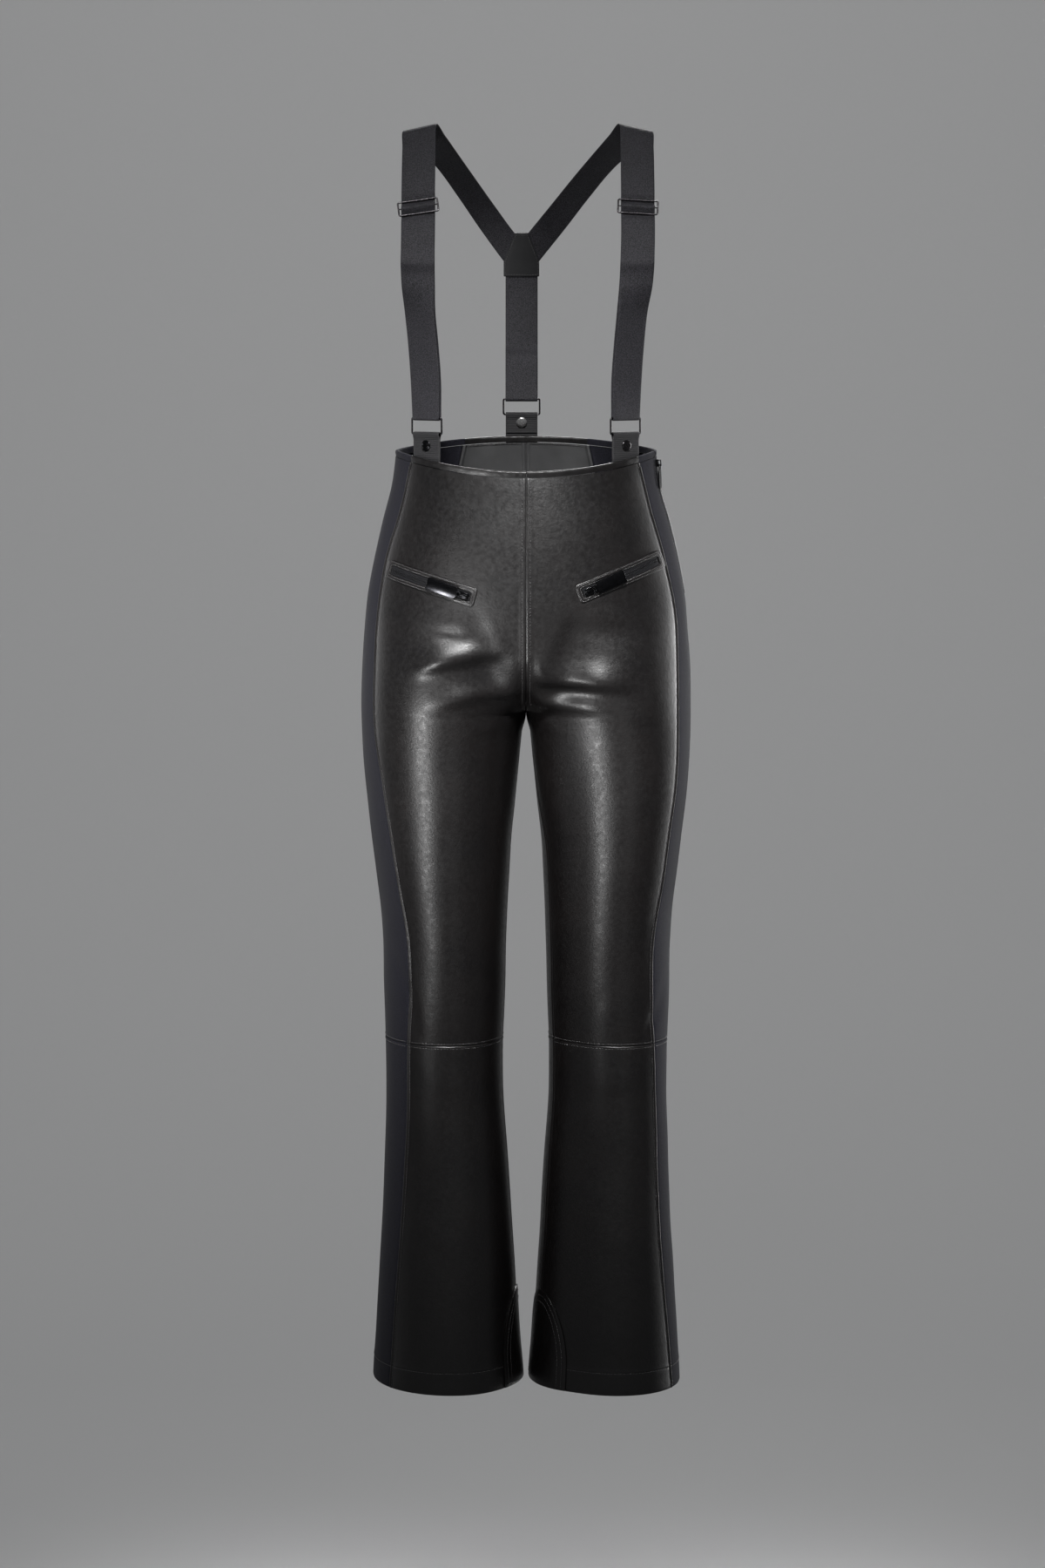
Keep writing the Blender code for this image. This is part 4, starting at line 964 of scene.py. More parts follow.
def spaced(points, normals, pitch):
    """Places along a line at a fixed pitch, with the directions along, aside and out."""
    run = np.pad(steps_of(points).cumsum(), (1, 0))
    count = int(run[-1] / pitch)
    at = (np.arange(count) + 0.5) * run[-1] / count

    def read(values, place):
        return np.stack([np.interp(place, run, values[:, i]) for i in range(3)], axis=-1)

    along = unit(read(points, at + 0.6) - read(points, at - 0.6))
    out = read(normals, at)
    out = unit(out - along * (out * along).sum(axis=-1, keepdims=True))
    return read(points, at), along, np.cross(out, along), out


def sew(name, lines, pitch=PITCH):
    """Stitches along lines of points and normals, as one object."""
    stitches = []
    for line, normals in lines:
        middle, *axes = (a[:, None, None] for a in spaced(line, normals, pitch))
        stitches += list(middle + sum(STITCH_POINTS[..., i, None] * axes[i] for i in range(3)))
    return tubes(name, stitches, thread_with_painted_sheen)


def pinched_edge(name, line, normals, radius, finish):
    """A roll along a line, which each stitch pinches."""
    angles = np.radians(np.arange(7) * 360 / 7)
    middle, _, aside, out = spaced(line, normals, ROLL_STEP)
    swell = 0.72 + 0.28 * np.abs(np.sin(math.pi * np.arange(len(middle)) * ROLL_STEP / PITCH))
    across = aside[:, None] * np.cos(angles)[:, None] * radius * swell[:, None, None]
    up = out[:, None] * np.sin(angles)[:, None] * radius * 0.8 * swell[:, None, None]
    return tubes(name, [middle[:, None] + across + up], finish)


def seam_line(side, seam, aside, out, low, high):
    """A line beside a lengthwise seam, and its normals."""
    level = np.arange(low, high, 3.0)[::-1]
    turn = seam(level)
    beside = turn_of_length(side, level, np.clip(turn, 0.004, 0.996), abs(aside))
    turn = turn + math.copysign(1, aside) * beside
    return cloth(side, level, turn, out), outward(side, level, turn)


def level_line(side, level, start, end, out, steps=120):
    """A line round the leg at one level, and its normals."""
    turn = np.linspace(start, end, steps)
    level = np.full(steps, float(level))
    return cloth(side, level, turn, out), outward(side, level, turn)


def centre_row(side, face):
    return lambda level: turn_at(side, level, FELL_HALF, face)


TOP, FOOT = -9.0, HEM + 2.0
for side, which in SIDES:
    ends = [0]
    for face, seam, sign in (("front", front_seam(side), -1), ("back", back_seam(side), 1)):
        row = seam_line(side, seam, sign * STITCH_INSET, 0.05, FOOT, TOP)
        sew(f"stitches_{which}_{face}_seam", [row])
        roll = seam_line(side, seam, sign * EDGE_INSET, 0.25, FOOT, TOP)
        pinched_edge(f"edge_{which}_{face}_seam", *roll, 1.0, leather)
        ends.append(float(seam(np.array(KNEE))))
    sew(f"stitches_{which}_centre_seams", [
        seam_line(side, centre_row(side, face), 0, 0.6, CROTCH + 14, TOP)
        for face in ("front", "back")
    ])
    sew(f"stitches_{which}_knee", [
        level_line(side, KNEE + offset, start + 0.004, end - 0.004, 0.1, steps)
        for offset in (KNEE_STITCH, -KNEE_STITCH)
        for start, end, steps in zip(ends, [*ends[1:], 1], (120, 40, 120))
    ])
    sew(f"stitches_{which}_hem", [level_line(side, HEM_LINE, 0.002, 0.998, 0.0, 300)])
stitched = [made.data for made in bpy.data.objects if "stitches" in made.name]
print("stitches:", sum(len(mesh.vertices) // STITCH_POINTS[..., 0].size for mesh in stitched))

# %% [markdown]
# ## Rolled waist edge
# The waist is finished like a faced edge: cloth rolled over a narrow stiff core, in leather
# at the front and back and in side cloth between. It is swept along the tilted waist line,
# with a round top. A row of understitching just below it holds the roll.

# %% Waist edge
EDGE_THICK = 3.0
EDGE_PROUD = 0.6
edge_half = EDGE_THICK / 2
ROLL = [
    (EDGE_PROUD - 0.15, -WAIST_EDGE_HEIGHT), (EDGE_PROUD, -5.2), (EDGE_PROUD + 0.25, -3.4),
    *((EDGE_PROUD - edge_half + (edge_half + 0.25) * math.cos(a), -1.9 + 1.9 * math.sin(a))
      for a in np.radians(np.linspace(0, 180, 11))),
    (EDGE_PROUD - EDGE_THICK - 0.25, -3.4), (EDGE_PROUD - EDGE_THICK, -WAIST_EDGE_HEIGHT),
]  # fmt: skip


def out_of_waist(side, turn):
    return outward(side, np.array(-1.0), np.array(turn)) * (1, 1, 0)


def roll_sections(places, profile=ROLL):
    """Sections of the roll at (side, turn) places."""
    sections = []
    for number, (side, turn) in enumerate(places):
        waist_point = cloth(side, 0.0, turn)
        out = unit(out_of_waist(side, turn))
        ease = 0.12 * math.sin(number * 0.9) + 0.1 * math.sin(number * 0.37 + side)
        sections.append([
            waist_point + out * (away + ease * (level > -5)) + np.array([0, 0, level])
            for away, level in profile
        ])
    return np.array(sections)


def waist_edge(name, places, finish):
    sections = roll_sections(places)
    for end, step in ((0, 1), (-1, -1)):
        sections[end] += unit(sections[end + step] - sections[end]) * SEAM_GAP / 2
    node = "waist_edge_" + name
    made = tube("rolled_" + node, sections, finish, [node])


def places_round(side, start, end):
    return [(side, t) for t in np.linspace(start, end, max(int(abs(end - start) / 0.0045), 3))]


waist = np.array(0.0)
front_at = {side: float(front_seam(side)(waist)) for side, _ in SIDES}
back_at = {side: float(back_seam(side)(waist)) for side, _ in SIDES}
below_top = np.array(-WAIST_EDGE_HEIGHT - 1.0)
across_front = places_round(RIGHT, front_at[RIGHT], 0.008)
across_front += places_round(LEFT, 0.008, front_at[LEFT])
across_back = places_round(RIGHT, back_at[RIGHT], 0.992)
across_back += places_round(LEFT, 0.992, back_at[LEFT])
waist_edge("front", across_front, leather)
waist_edge("back", across_back, leather)
for name, side, start, end in (
    ("right", RIGHT, front_at[RIGHT], back_at[RIGHT]),
    ("left_front", LEFT, front_at[LEFT], float(zip_lip(-1)(waist))),
    ("left_back", LEFT, float(zip_lip(1)(below_top)), back_at[LEFT]),
):
    waist_edge(name, places_round(side, start, end), side_knit)
for name, places, away, drop in (
    ("front", across_front, 0.15, 10.0),
    ("back", across_back, 0.15, 10.0),
    ("back_inside", across_back, -2.0, 9.0),
):
    line = roll_sections(places, [(away, -drop)])[:, 0]
    normals = np.array([out_of_waist(*place) for place in places]) * math.copysign(1, away)
    sew("stitches_waist_" + name, [(line, normals)], 2.9)
print("waist edge round", len(across_front) + len(across_back), "places of leather")

# %% [markdown]
# ## Scuff guards
# An arched patch of leather at each inner ankle takes the knocks of the ski boots. It lies
# on the cloth over the inseam, and its edge is sewn down by concentric rows of stitches.

# %% Scuff guards
GUARD_TOP = -948.0
GUARD_WIDEST = -1030.0
GUARD_HALF_TURN = 34 / 360
GUARD_THICK = 1.1
GUARD_CLEAR = 0.65
ROUND_LEG = 560


def cloth_past_inseam(side, level, turn, out):
    """The cloth's outer face where a place may lie on either side of the inseam."""
    return cloth(side, level, np.mod(turn, 1.0), out)


def guard_half(level):
    """Half of the patch's width, as a share of the way round the leg."""
    arch = np.clip((level - GUARD_WIDEST) / (GUARD_TOP - GUARD_WIDEST), 0, 1)
    return GUARD_HALF_TURN * np.sqrt(np.maximum(1 - arch**2, 0.006))


def guard_row(side, inset):
    """A stitch row parallel to the patch's arched edge."""
    arch = np.radians(np.linspace(0, 180, 90))
    level = GUARD_WIDEST + (GUARD_TOP - inset - GUARD_WIDEST) * np.sin(arch)
    turn = (GUARD_HALF_TURN - inset / ROUND_LEG) * np.cos(arch)
    feet = np.linspace(HEM + 3, GUARD_WIDEST, 10)[:-1]
    level = np.concatenate([feet, level, feet[::-1]])
    turn = np.concatenate([np.full(9, turn[0]), turn, np.full(9, turn[-1])])
    normals = outward(side, level, np.mod(turn, 1.0))
    return cloth_past_inseam(side, level, turn, GUARD_CLEAR + GUARD_THICK + 0.05), normals


across_guard = np.array([-1, -0.985, -0.96, *np.linspace(-0.9, 0.9, 27), 0.96, 0.985, 1])
share_up = np.sin(np.linspace(0, math.pi / 2, 26))[:-1]
guard_levels = np.concatenate([
    np.linspace(HEM + 0.4, GUARD_WIDEST - 3, 7),
    GUARD_WIDEST + (GUARD_TOP - GUARD_WIDEST) * share_up,
    [GUARD_TOP],
])[:, None]
turn = guard_half(guard_levels) * across_guard
level = np.repeat(guard_levels, len(across_guard), axis=1)
edge = 1 - np.abs(across_guard)
softened = np.where(edge < 0.03, 0.55, 1.0) - 0.3 * near(edge, 0.13, 0.035)
for side, which in SIDES:
    high = cloth_past_inseam(side, level, turn, GUARD_CLEAR + GUARD_THICK * softened)
    low = cloth_past_inseam(side, level, turn, GUARD_CLEAR - 0.3)
    node = f"scuff_guard_{which}"
    made = wall("patch_" + node, high, low, leather, [node])
    bare_form(side, level, np.mod(turn, 1.0))
    sew(f"stitches_{which}_guard", [guard_row(side, inset) for inset in (6.0, 13.0)], 3.2)
print("guards reach", round(-GUARD_TOP), "mm below the waist")

# %% [markdown]
# ## Thigh pockets
# Each pocket mouth is a zip inside a leather frame with two rows of topstitching. The frame
# follows the cloth's curve, so each of its points is found from its place along the mouth
# and its distance up from it. The zip's coil is a row of small loops on both tapes.

# %% Pocket frames and zips
POCKET_ENDS = {RIGHT: ((55, -157.5), (153, -128)), LEFT: ((56, -153.5), (150, -117))}
POCKET_HEIGHT = 21.0
POCKET_BORDER = 5.4
POCKET_CORNER, CORNER_STEP = 4.0, 1.6
FRAME_CLEAR = 0.5
FRAME_THICK = 1.1
FRAME_ROWS_OUT = FRAME_CLEAR + FRAME_THICK * 0.82
TAPE_THICK = 0.7
COIL_HEIGHT = 0.8
COIL_WIRE = (0.42, 0.32)
SLIDER_CLEAR = 0.4
TAPE_TOP = FRAME_CLEAR + TAPE_THICK
SLIDER_BASE = TAPE_TOP + COIL_HEIGHT + SLIDER_CLEAR
COIL_PITCH = 1.5


def pocket_length(side):
    return math.dist(*POCKET_ENDS[side])


def on_pocket(side, along, up, out):
    """A place on a pocket: millimetres along its mouth from the inner end, and up."""
    start, end = np.array(POCKET_ENDS[side], float)
    run = (end - start) / np.hypot(*(end - start))
    across = start[0] + run[0] * along - run[1] * up
    level = start[1] + run[1] * along + run[0] * up
    return cloth(side, level, turn_at(side, level, across, "front"), out)


def round_rectangle(length, height, corner, step):
    """Points round a rectangle with round corners, whose ends are at 0 and length."""
    arcs = []
    far = length - corner
    for x, sign, turned in ((far, 1, 0), (corner, 1, 90), (corner, -1, 180), (far, -1, 270)):
        y = sign * (height / 2 - corner)
        arcs.append([(x + corner * math.cos(a), y + corner * math.sin(a))
                     for a in np.radians(np.linspace(turned, turned + 90, 7))])
    outline = []
    for arc, ahead in zip(arcs, arcs[1:] + arcs[:1]):
        gap = np.array(ahead[0]) - arc[-1]
        count = max(int(np.hypot(*gap) / step), 1)
        outline += arc + list(np.linspace(arc[-1], ahead[0], count + 1)[1:-1])
    return np.array(outline)


def coil_loops(side, start, end):
    """The zip's loops, which lean over the middle from each tape in turn."""
    loops = []
    corners = np.radians((45, 135, 225, 315))
    for number, place in enumerate(np.arange(start, end, COIL_PITCH / 2)):
        sign = 1 if number % 2 else -1
        loops.append([
            [(place + COIL_WIRE[0] * math.cos(corner),
              sign * up,
              TAPE_TOP + COIL_HEIGHT * height + COIL_WIRE[1] * math.sin(corner))
             for corner in corners]
            for up, height in ((0.2, 0.25), (0.9, 0.75), (1.9, 0.7), (2.4, 0.1))
        ])
    return on_pocket(side, *np.moveaxis(np.array(loops), -1, 0))


frame_profile = [
    (0.0, -0.3), (0.0, 0.55), (0.08, 0.85), (0.2, 0.92), (0.3, 0.72), (0.4, 0.95), (0.55, 1.0),
    (0.66, 0.9), (0.74, 0.7), (0.84, 0.92), (0.93, 0.85), (1.0, 0.5), (1.0, -0.3),
]  # fmt: skip
for side, which in SIDES:
    length = pocket_length(side)
    outside = round_rectangle(length, POCKET_HEIGHT, POCKET_CORNER, CORNER_STEP)
    shrink = 1 - 2 * POCKET_BORDER / np.array([length, POCKET_HEIGHT])
    inside = (outside - (length / 2, 0)) * shrink + (length / 2, 0)

    def frame_ring(share, out, times=len(outside)):
        ring = (outside + (inside - outside) * share)[np.arange(times) % len(outside)]
        return on_pocket(side, ring[:, 0], ring[:, 1], out)

    rings = [frame_ring(share, FRAME_CLEAR + FRAME_THICK * out) for share, out in frame_profile]
    node = f"pocket_frame_{which}"
    made = tube("welt_" + node, np.stack(rings, axis=1), leather, [node], is_loop=True)
    rows = []
    for share in (0.26, 0.77):
        line = frame_ring(share, FRAME_ROWS_OUT, len(outside) + 1)
        rows.append((line, frame_ring(share, FRAME_ROWS_OUT + 1, len(outside) + 1) - line))
    sew(f"stitches_{which}_pocket", rows, 2.7)

    reach = POCKET_BORDER + 0.8
    along = np.arange(reach, length - reach, 1.6)
    half = POCKET_HEIGHT / 2 - POCKET_BORDER - SEAM_GAP
    groove = TAPE_THICK - 0.4
    profile = [(-half, 0), (half, 0), (half, TAPE_THICK), (0.5, TAPE_THICK), (0.25, groove),
               (-0.25, groove), (-0.5, TAPE_THICK), (-half, TAPE_THICK)]
    rows = [on_pocket(side, along, np.full(len(along), up), FRAME_CLEAR + out)
            for up, out in profile]
    node = f"pocket_zip_{which}"
    tape = tube("tape_" + node, np.stack(rows, axis=1), zip_cloth, [node])
    tubes(f"coil_{which}", coil_loops(side, reach + 1, length - reach - 1), zip_nylon)
print("pocket mouths:", [round(pocket_length(side)) for side, _ in SIDES], "mm")

# %% [markdown]
# ## Zip sliders and pulls
# Small metal fittings repeat, so each is modelled once at the origin, in millimetres along
# its own directions, and copied to its places. The slider is a block whose top carries a
# bridge: a second block, cut near both ends, whose end faces underneath are drawn down.
# The pull is a flat plate with a narrow neck, and a slot at its hinge.

# %% Modelling helpers for fittings
PATTERNS = []


def start_piece(name, primitive, scale=(1, 1, 1), **at):
    """A primitive at this scale, with its object at the origin."""
    choose()
    primitive(**at)
    made = bpy.context.object
    made.name = made.data.name = name
    made.scale = scale
    bpy.ops.object.transform_apply(location=True, rotation=True, scale=True)
    return made


def start_block(name, centre, size):
    return start_piece(name, bpy.ops.mesh.primitive_cube_add, Vector(size) * MM, size=1,
                       location=Vector(centre) * MM)


def start_plate(name, centre, size):
    return start_piece(name, bpy.ops.mesh.primitive_plane_add, (size[0] * MM, size[1] * MM, 1),
                       size=1, location=Vector(centre) * MM)


def edit_faces(made, wanted, kind="FACE"):
    """Enters edit mode with the wanted faces, edges or points selected."""
    edit(kind)
    mesh = made.data
    if kind == "FACE":
        for face in mesh.polygons:
            face.select = wanted(face.center / MM, face.normal)
    elif kind == "EDGE":
        for line in mesh.edges:
            ends = [mesh.vertices[v].co / MM for v in line.vertices]
            line.select = wanted((ends[0] + ends[1]) / 2)
    else:
        for point in mesh.vertices:
            point.select = wanted(point.co / MM)
    edit()


def extrude(x, y, z):
    bpy.ops.mesh.extrude_region_move(TRANSFORM_OT_translate={"value": (x * MM, y * MM, z * MM)})


def round_corners(made, wanted, corner, segments):
    """Rounds the corners of a flat plate that are wanted."""
    edit_faces(made, wanted, "VERT")
    bpy.ops.mesh.bevel(offset=corner * MM, segments=segments, affect="VERTICES")


def soften(made, width, segments=3, limit=35):
    """Rounds the edges that are sharper than the limit."""
    choose(made)
    rounded = made.modifiers.new("rounded", "BEVEL")
    rounded.width = width * MM
    rounded.segments = segments
    rounded.limit_method = "ANGLE"
    rounded.angle_limit = math.radians(limit)
    rounded.use_clamp_overlap = True
    bpy.ops.object.modifier_apply(modifier="rounded")
    bpy.ops.object.shade_smooth_by_angle(angle=math.radians(40))


def join(*pieces):
    choose(*pieces)
    bpy.ops.object.join()
    return pieces[0]


def cut_out(made, cutter):
    choose(made)
    cut = made.modifiers.new("cut", "BOOLEAN")
    cut.operation = "DIFFERENCE"
    cut.solver = "EXACT"
    cut.object = cutter
    bpy.ops.object.modifier_apply(modifier="cut")
    bpy.data.objects.remove(cutter)


def pattern(made, finish):
    """Keeps a finished fitting to copy from."""
    made.data.materials.clear()
    made.data.materials.append(finish.made)
    PATTERNS.append(made)
    return made


def fit(original, name, place, finish, nodes=(), body="trousers"):
    """A copy of a fitting, with its own mesh, set in its place on the trousers."""
    made = bpy.data.objects.new(name, original.data.copy())
    made.data.name = name
    made.data.transform(place)
    made.data.materials[0] = finish.made
    bpy.context.scene.collection.objects.link(made)
    return belongs(made, nodes, body)


def place_at(origin, along, out):
    """A place whose X runs along and whose Z points out, both at right angles."""
    out = unit(out)
    along = unit(along - out * np.dot(along, out))
    turned = Matrix(np.stack([along, np.cross(out, along), out], axis=1).tolist()).to_4x4()
    return Matrix.Translation(Vector(origin) * MM) @ turned


print("fittings can be modelled and copied")

# %% Sliders and pulls
SLIDER_HEIGHT = 2.0
HINGE_HEIGHT = SLIDER_HEIGHT + 1.3
HINGE_INSET = 2.8
BRIDGE_FOOT, BRIDGE_THICK, BRIDGE_LOW = 1.3, 1.1, 1.6
PULL_THICK = 1.4
PULL_SHOULDER, NECK_END = 8.6, 6.6
EYE_WALL = 0.6
EYE_HALF = 3.4
EYE_SLOT = (5.6, 1.9)
POCKET_SLIDER = (9.6, 8.4)
POCKET_PULL = (43.0, 7.0, 1.2)
POCKET_PULL_TILT = 7.0
SLIDER_INSET = 12.0
SIDE_SLIDER = (8.4, 7.0)
SIDE_SLIDER_LEVEL = -14.0
SIDE_PULL = (27.0, 4.6, 3.6)
SIDE_PULL_TILT = 4.0


def model_slider(name, length, width):
    """A zip slider, X along the zip, with the bridge that carries its pull."""
    body = start_block(name, (0, 0, SLIDER_HEIGHT / 2), (length, width, SLIDER_HEIGHT))
    edit_faces(body, lambda at, normal: normal.x < -0.9)
    bpy.ops.transform.resize(value=(1, 0.72, 1))
    leave_edit()
    edit_faces(body, lambda at, normal: normal.z > 0.9)
    bpy.ops.mesh.inset(thickness=0.9 * MM)
    bpy.ops.transform.translate(value=(0, 0, 0.25 * MM))
    leave_edit()
    soften(body, 0.45, 3)
    foot, top = length / 2 - 0.5, HINGE_HEIGHT + 2.1
    bridge = start_block(name + "_bridge", (0, 0, top - BRIDGE_THICK / 2),
                         (2 * foot, 2.4, BRIDGE_THICK))
    edit()
    for cut in (foot - BRIDGE_FOOT, BRIDGE_FOOT - foot):
        bpy.ops.mesh.select_all(action="SELECT")
        bpy.ops.mesh.bisect(plane_co=(cut * MM, 0, 0), plane_no=(1, 0, 0))
    leave_edit()
    edit_faces(bridge, lambda at, normal: normal.z < -0.9 and abs(at.x) > foot - BRIDGE_FOOT)
    extrude(0, 0, -(top - BRIDGE_THICK - BRIDGE_LOW))
    leave_edit()
    soften(bridge, 0.42, 4)
    return pattern(join(body, bridge), black_metal)


def model_pull(name, length, half_width, corner):
    """A zip pull that turns about its origin, X towards its free end."""
    plate = start_plate(name, ((length + PULL_SHOULDER) / 2, 0, -PULL_THICK / 2),
                        (length - PULL_SHOULDER, 2 * half_width))
    edit_faces(plate, lambda at: abs(at.x - PULL_SHOULDER) < 0.01, "EDGE")
    extrude(NECK_END - PULL_SHOULDER, 0, 0)
    bpy.ops.transform.resize(value=(1, EYE_HALF / half_width, 1))
    extrude(-(NECK_END + EYE_WALL), 0, 0)
    leave_edit()
    round_corners(plate, lambda at: at.x > length - 0.01, corner, 8)
    leave_edit()
    round_corners(plate, lambda at: at.x < 0, 1.2, 4)
    leave_edit()
    edit_faces(plate, lambda at, normal: True)
    extrude(0, 0, PULL_THICK)
    bpy.ops.mesh.select_all(action="SELECT")
    bpy.ops.mesh.normals_make_consistent(inside=False)
    leave_edit()
    middle = (EYE_WALL + EYE_SLOT[0]) / 2
    slot = start_block("slot", (middle, 0, 0), (EYE_SLOT[0] - EYE_WALL, 2 * EYE_SLOT[1], 6))
    cut_out(plate, slot)
    soften(plate, 0.3, 3, 50)
    return pattern(plate, black_metal)


def fit_zip_head(names, place, slider, pull, slider_size, tilt, slider_node, pull_node):
    """A slider at its place, and its pull, tilted on its own body about the hinge."""
    fit(slider, f"metal_{names[0]}", place, black_metal, [slider_node])
    ahead = slider_size[0] / 2 - HINGE_INSET
    hinge = place @ Matrix.Translation((ahead * MM, 0, HINGE_HEIGHT * MM))
    hinge = hinge @ Matrix.Rotation(math.radians(tilt), 4, "Y")
    fit(pull, f"metal_{names[1]}", hinge, black_metal, [pull_node], pull_node + "_body")


pocket_slider = model_slider("slider", *POCKET_SLIDER)
pocket_pull = model_pull("pull", *POCKET_PULL)
for side, which in SIDES:
    base, ahead, above = (on_pocket(side, SLIDER_INSET + along, 0.0, SLIDER_BASE + out)
                          for along, out in ((0, 0), (4, 0), (0, 1)))
    fit_zip_head((f"slider_{which}", f"pull_{which}"), place_at(base, ahead - base, above - base),
                 pocket_slider, pocket_pull, POCKET_SLIDER, POCKET_PULL_TILT,
                 f"pocket_slider_{which}", f"pocket_pull_{which}")
print("pull:", POCKET_PULL[0], "by", 2 * POCKET_PULL[1], "mm")

# %% [markdown]
# ## Side zip
# On the wearer's left the side panel opens from the waist to the hip. The zip is narrow and
# lies just below the cloth's two lips, so little more than its coil shows. Its slider is
# closed at the top, with a rounded pull that hangs over the waist edge's foot.

# %% Side zip
SIDE_TAPE_OUT = -0.2
NARROW_BELOW, NARROW = -150, 0.35
zip_foot = 4 - SIDE_ZIP_LENGTH
zip_levels = np.concatenate([[-0.5], np.arange(-5, zip_foot, -3.0), [zip_foot]])
half = SIDE_ZIP_OPENING / 2 - SEAM_GAP
zip_profile = ((-half, -WALL), (half, -WALL), (half, SIDE_TAPE_OUT), (0.9, SIDE_TAPE_OUT),
               (0.6, SIDE_TAPE_OUT + 0.35), (-0.6, SIDE_TAPE_OUT + 0.35), (-0.9, SIDE_TAPE_OUT),
               (-half, SIDE_TAPE_OUT))
rows = []
narrow = np.where(zip_levels < NARROW_BELOW, NARROW, 1.0)
seam = zip_seam(zip_levels)
for aside, out in zip_profile:
    turn = seam + np.sign(aside) * turn_of_length(LEFT, zip_levels, seam, abs(aside) * narrow)
    rows.append(cloth(LEFT, zip_levels, turn, out))
tube("tape_side_zip", np.stack(rows, axis=1), zip_cloth, ["side_zip"])

teeth_levels = np.arange(-24, 10 - SIDE_ZIP_LENGTH, -1.4)
seam = zip_seam(teeth_levels)
teeth = cloth(LEFT, teeth_levels, seam, SIDE_TAPE_OUT + 0.5)
pinched_edge("coil_side_zip", teeth, outward(LEFT, teeth_levels, seam), 0.9, zip_nylon)

level = np.array(SIDE_SLIDER_LEVEL)
seam = zip_seam(level)
base = cloth(LEFT, level, seam, EDGE_PROUD + SLIDER_CLEAR)
place = place_at(base, np.array([0.0, 0.0, -1.0]), outward(LEFT, level, seam))
side_slider = model_slider("small_slider", *SIDE_SLIDER)
side_pull = model_pull("small_pull", *SIDE_PULL)
fit_zip_head(("side_slider", "side_pull"), place, side_slider, side_pull, SIDE_SLIDER,
             SIDE_PULL_TILT, "side_slider", "side_pull")
sew("stitches_side_zip", [
    seam_line(LEFT, zip_lip(sign), sign * STITCH_INSET, 0.05, 14 - SIDE_ZIP_LENGTH, TOP)
    for sign in (-1, 1)
])
print("side zip", SIDE_ZIP_LENGTH, "mm long")

# %% [markdown]
# ## Braces
# Each shoulder elastic is one ribbon. It comes down its track from the yoke, bulges over
# the middle bar of its adjuster, bends forwards a little below it, turns round the upper bar
# of its front ring and runs back up behind itself. The track is a table of both edges of
# the ribbon, so that its width and twist are as in the photograph. It is swept in small
# steps, thinner at both edges.

# %% Ribbons
# the inner edge's place, the outer edge's place, and a shift to the wearer's left
SHOULDER_ELASTIC = (
    (95.4, -67.6, 38, 124.6, -45.6, 38, 0),
    (95, -71, 75, 126, -52, 75, 0),
    (97.5, -76, 115, 128.5, -57.5, 115, 0),
    (100.5, -81, 152, 132, -64, 152, 0),
    (100.5, -82, 181, 136, -76, 181, 1),
    (100.7, -77, 208, 137.2, -76, 208, 1.5),
    (101, -69, 236, 137.5, -69, 236, 2),
    (101, -58, 264.5, 137.5, -58, 264.5, 2),
    (101, -41, 298, 137.5, -41, 298, 2),
    (101, -20, 331, 137.3, -21, 328, 2),
    (100.3, 0, 355.5, 136.6, 0, 348, 1.8),
    (90.2, 20, 344, 118.3, 36, 329, 1),
    (76, 46, 326.5, 99, 67, 311, -0.5),
    (54, 82, 299, 72.7, 103, 278, -2.5),
    (31, 111, 269.5, 47.3, 127, 243.5, -4),
    (7.5, 127, 239.8, 20.4, 131.7, 208.7, -5.2),
    (4.8, 127.6, 236.5, 17.7, 132.2, 205.3, -5.2),
)
ADJUSTER_ROW = 7
BEND_ROW, BEND_PAST = 5, -4.0
BEND_OUT, BEND_REACH = 4.4, 8.5
ADJUSTER_TILT = {RIGHT: 2.6, LEFT: 1.0}
TILT_SHARE = {6: 0.6, 7: 1.0, 8: 0.6}
BACK_MIDDLE = -5.0
# depth and height of the middle line
BACK_ELASTIC = (
    (101.4, 54.7),
    (108.0, 80),
    (117.5, 115),
    (127.0, 150),
    (133.3, 178),
    (134.35, 191),
    (133.15, 199),
)
BACK_ELASTIC_HALF = 18.3
BACK_RETURN = 45.0
LOOP_RADIUS = WIRE_RADIUS + 0.45 + ELASTIC_THICK / 2
RIBBON_STEP = 2.4
RIBBON_END = 0.6
ACROSS = np.array([-1, -0.975, -0.92, *np.linspace(-0.8, 0.8, 9), 0.92, 0.975, 1])
FULLNESS = np.array([0.3, 0.75, 1, *np.ones(9), 1, 0.75, 0.3])


def edges_track(rows):
    """Both edges of a ribbon as a smooth function of its length, and each row's length."""
    rows = np.array(rows, float)
    places = np.pad(steps_of((rows[:, :3] + rows[:, 3:]) / 2).cumsum(), (1, 0))
    return smooth_track(places, rows), places


def ribbon_frame(track, place, facing):
    """Middle, half width, direction and outward normal of a ribbon at a length."""
    step = 0.5
    here, ahead, behind = (track(np.array(float(p))) for p in (place, place + step, place - step))
    run = unit((ahead - behind)[:3] + (ahead - behind)[3:])
    half = (here[3:] - here[:3]) / 2
    return (here[:3] + here[3:]) / 2, half, run, unit(np.cross(half, run) * facing)


def ribbon(name, path, thick, finish, node):
    """A ribbon through (middle, half width, normal) rows, and its width and length."""
    middle, half, out = (np.array([row[i] for row in path]) for i in range(3))
    grid = middle[:, None] + half[:, None] * ACROSS[:, None]
    lift = out[:, None] * (FULLNESS * thick / 2)[:, None]
    made = wall(name, grid + lift, grid - lift, finish, [node])
    return made, 2 * np.linalg.norm(half, axis=-1).max() * MM, float(steps_of(middle).sum()) * MM


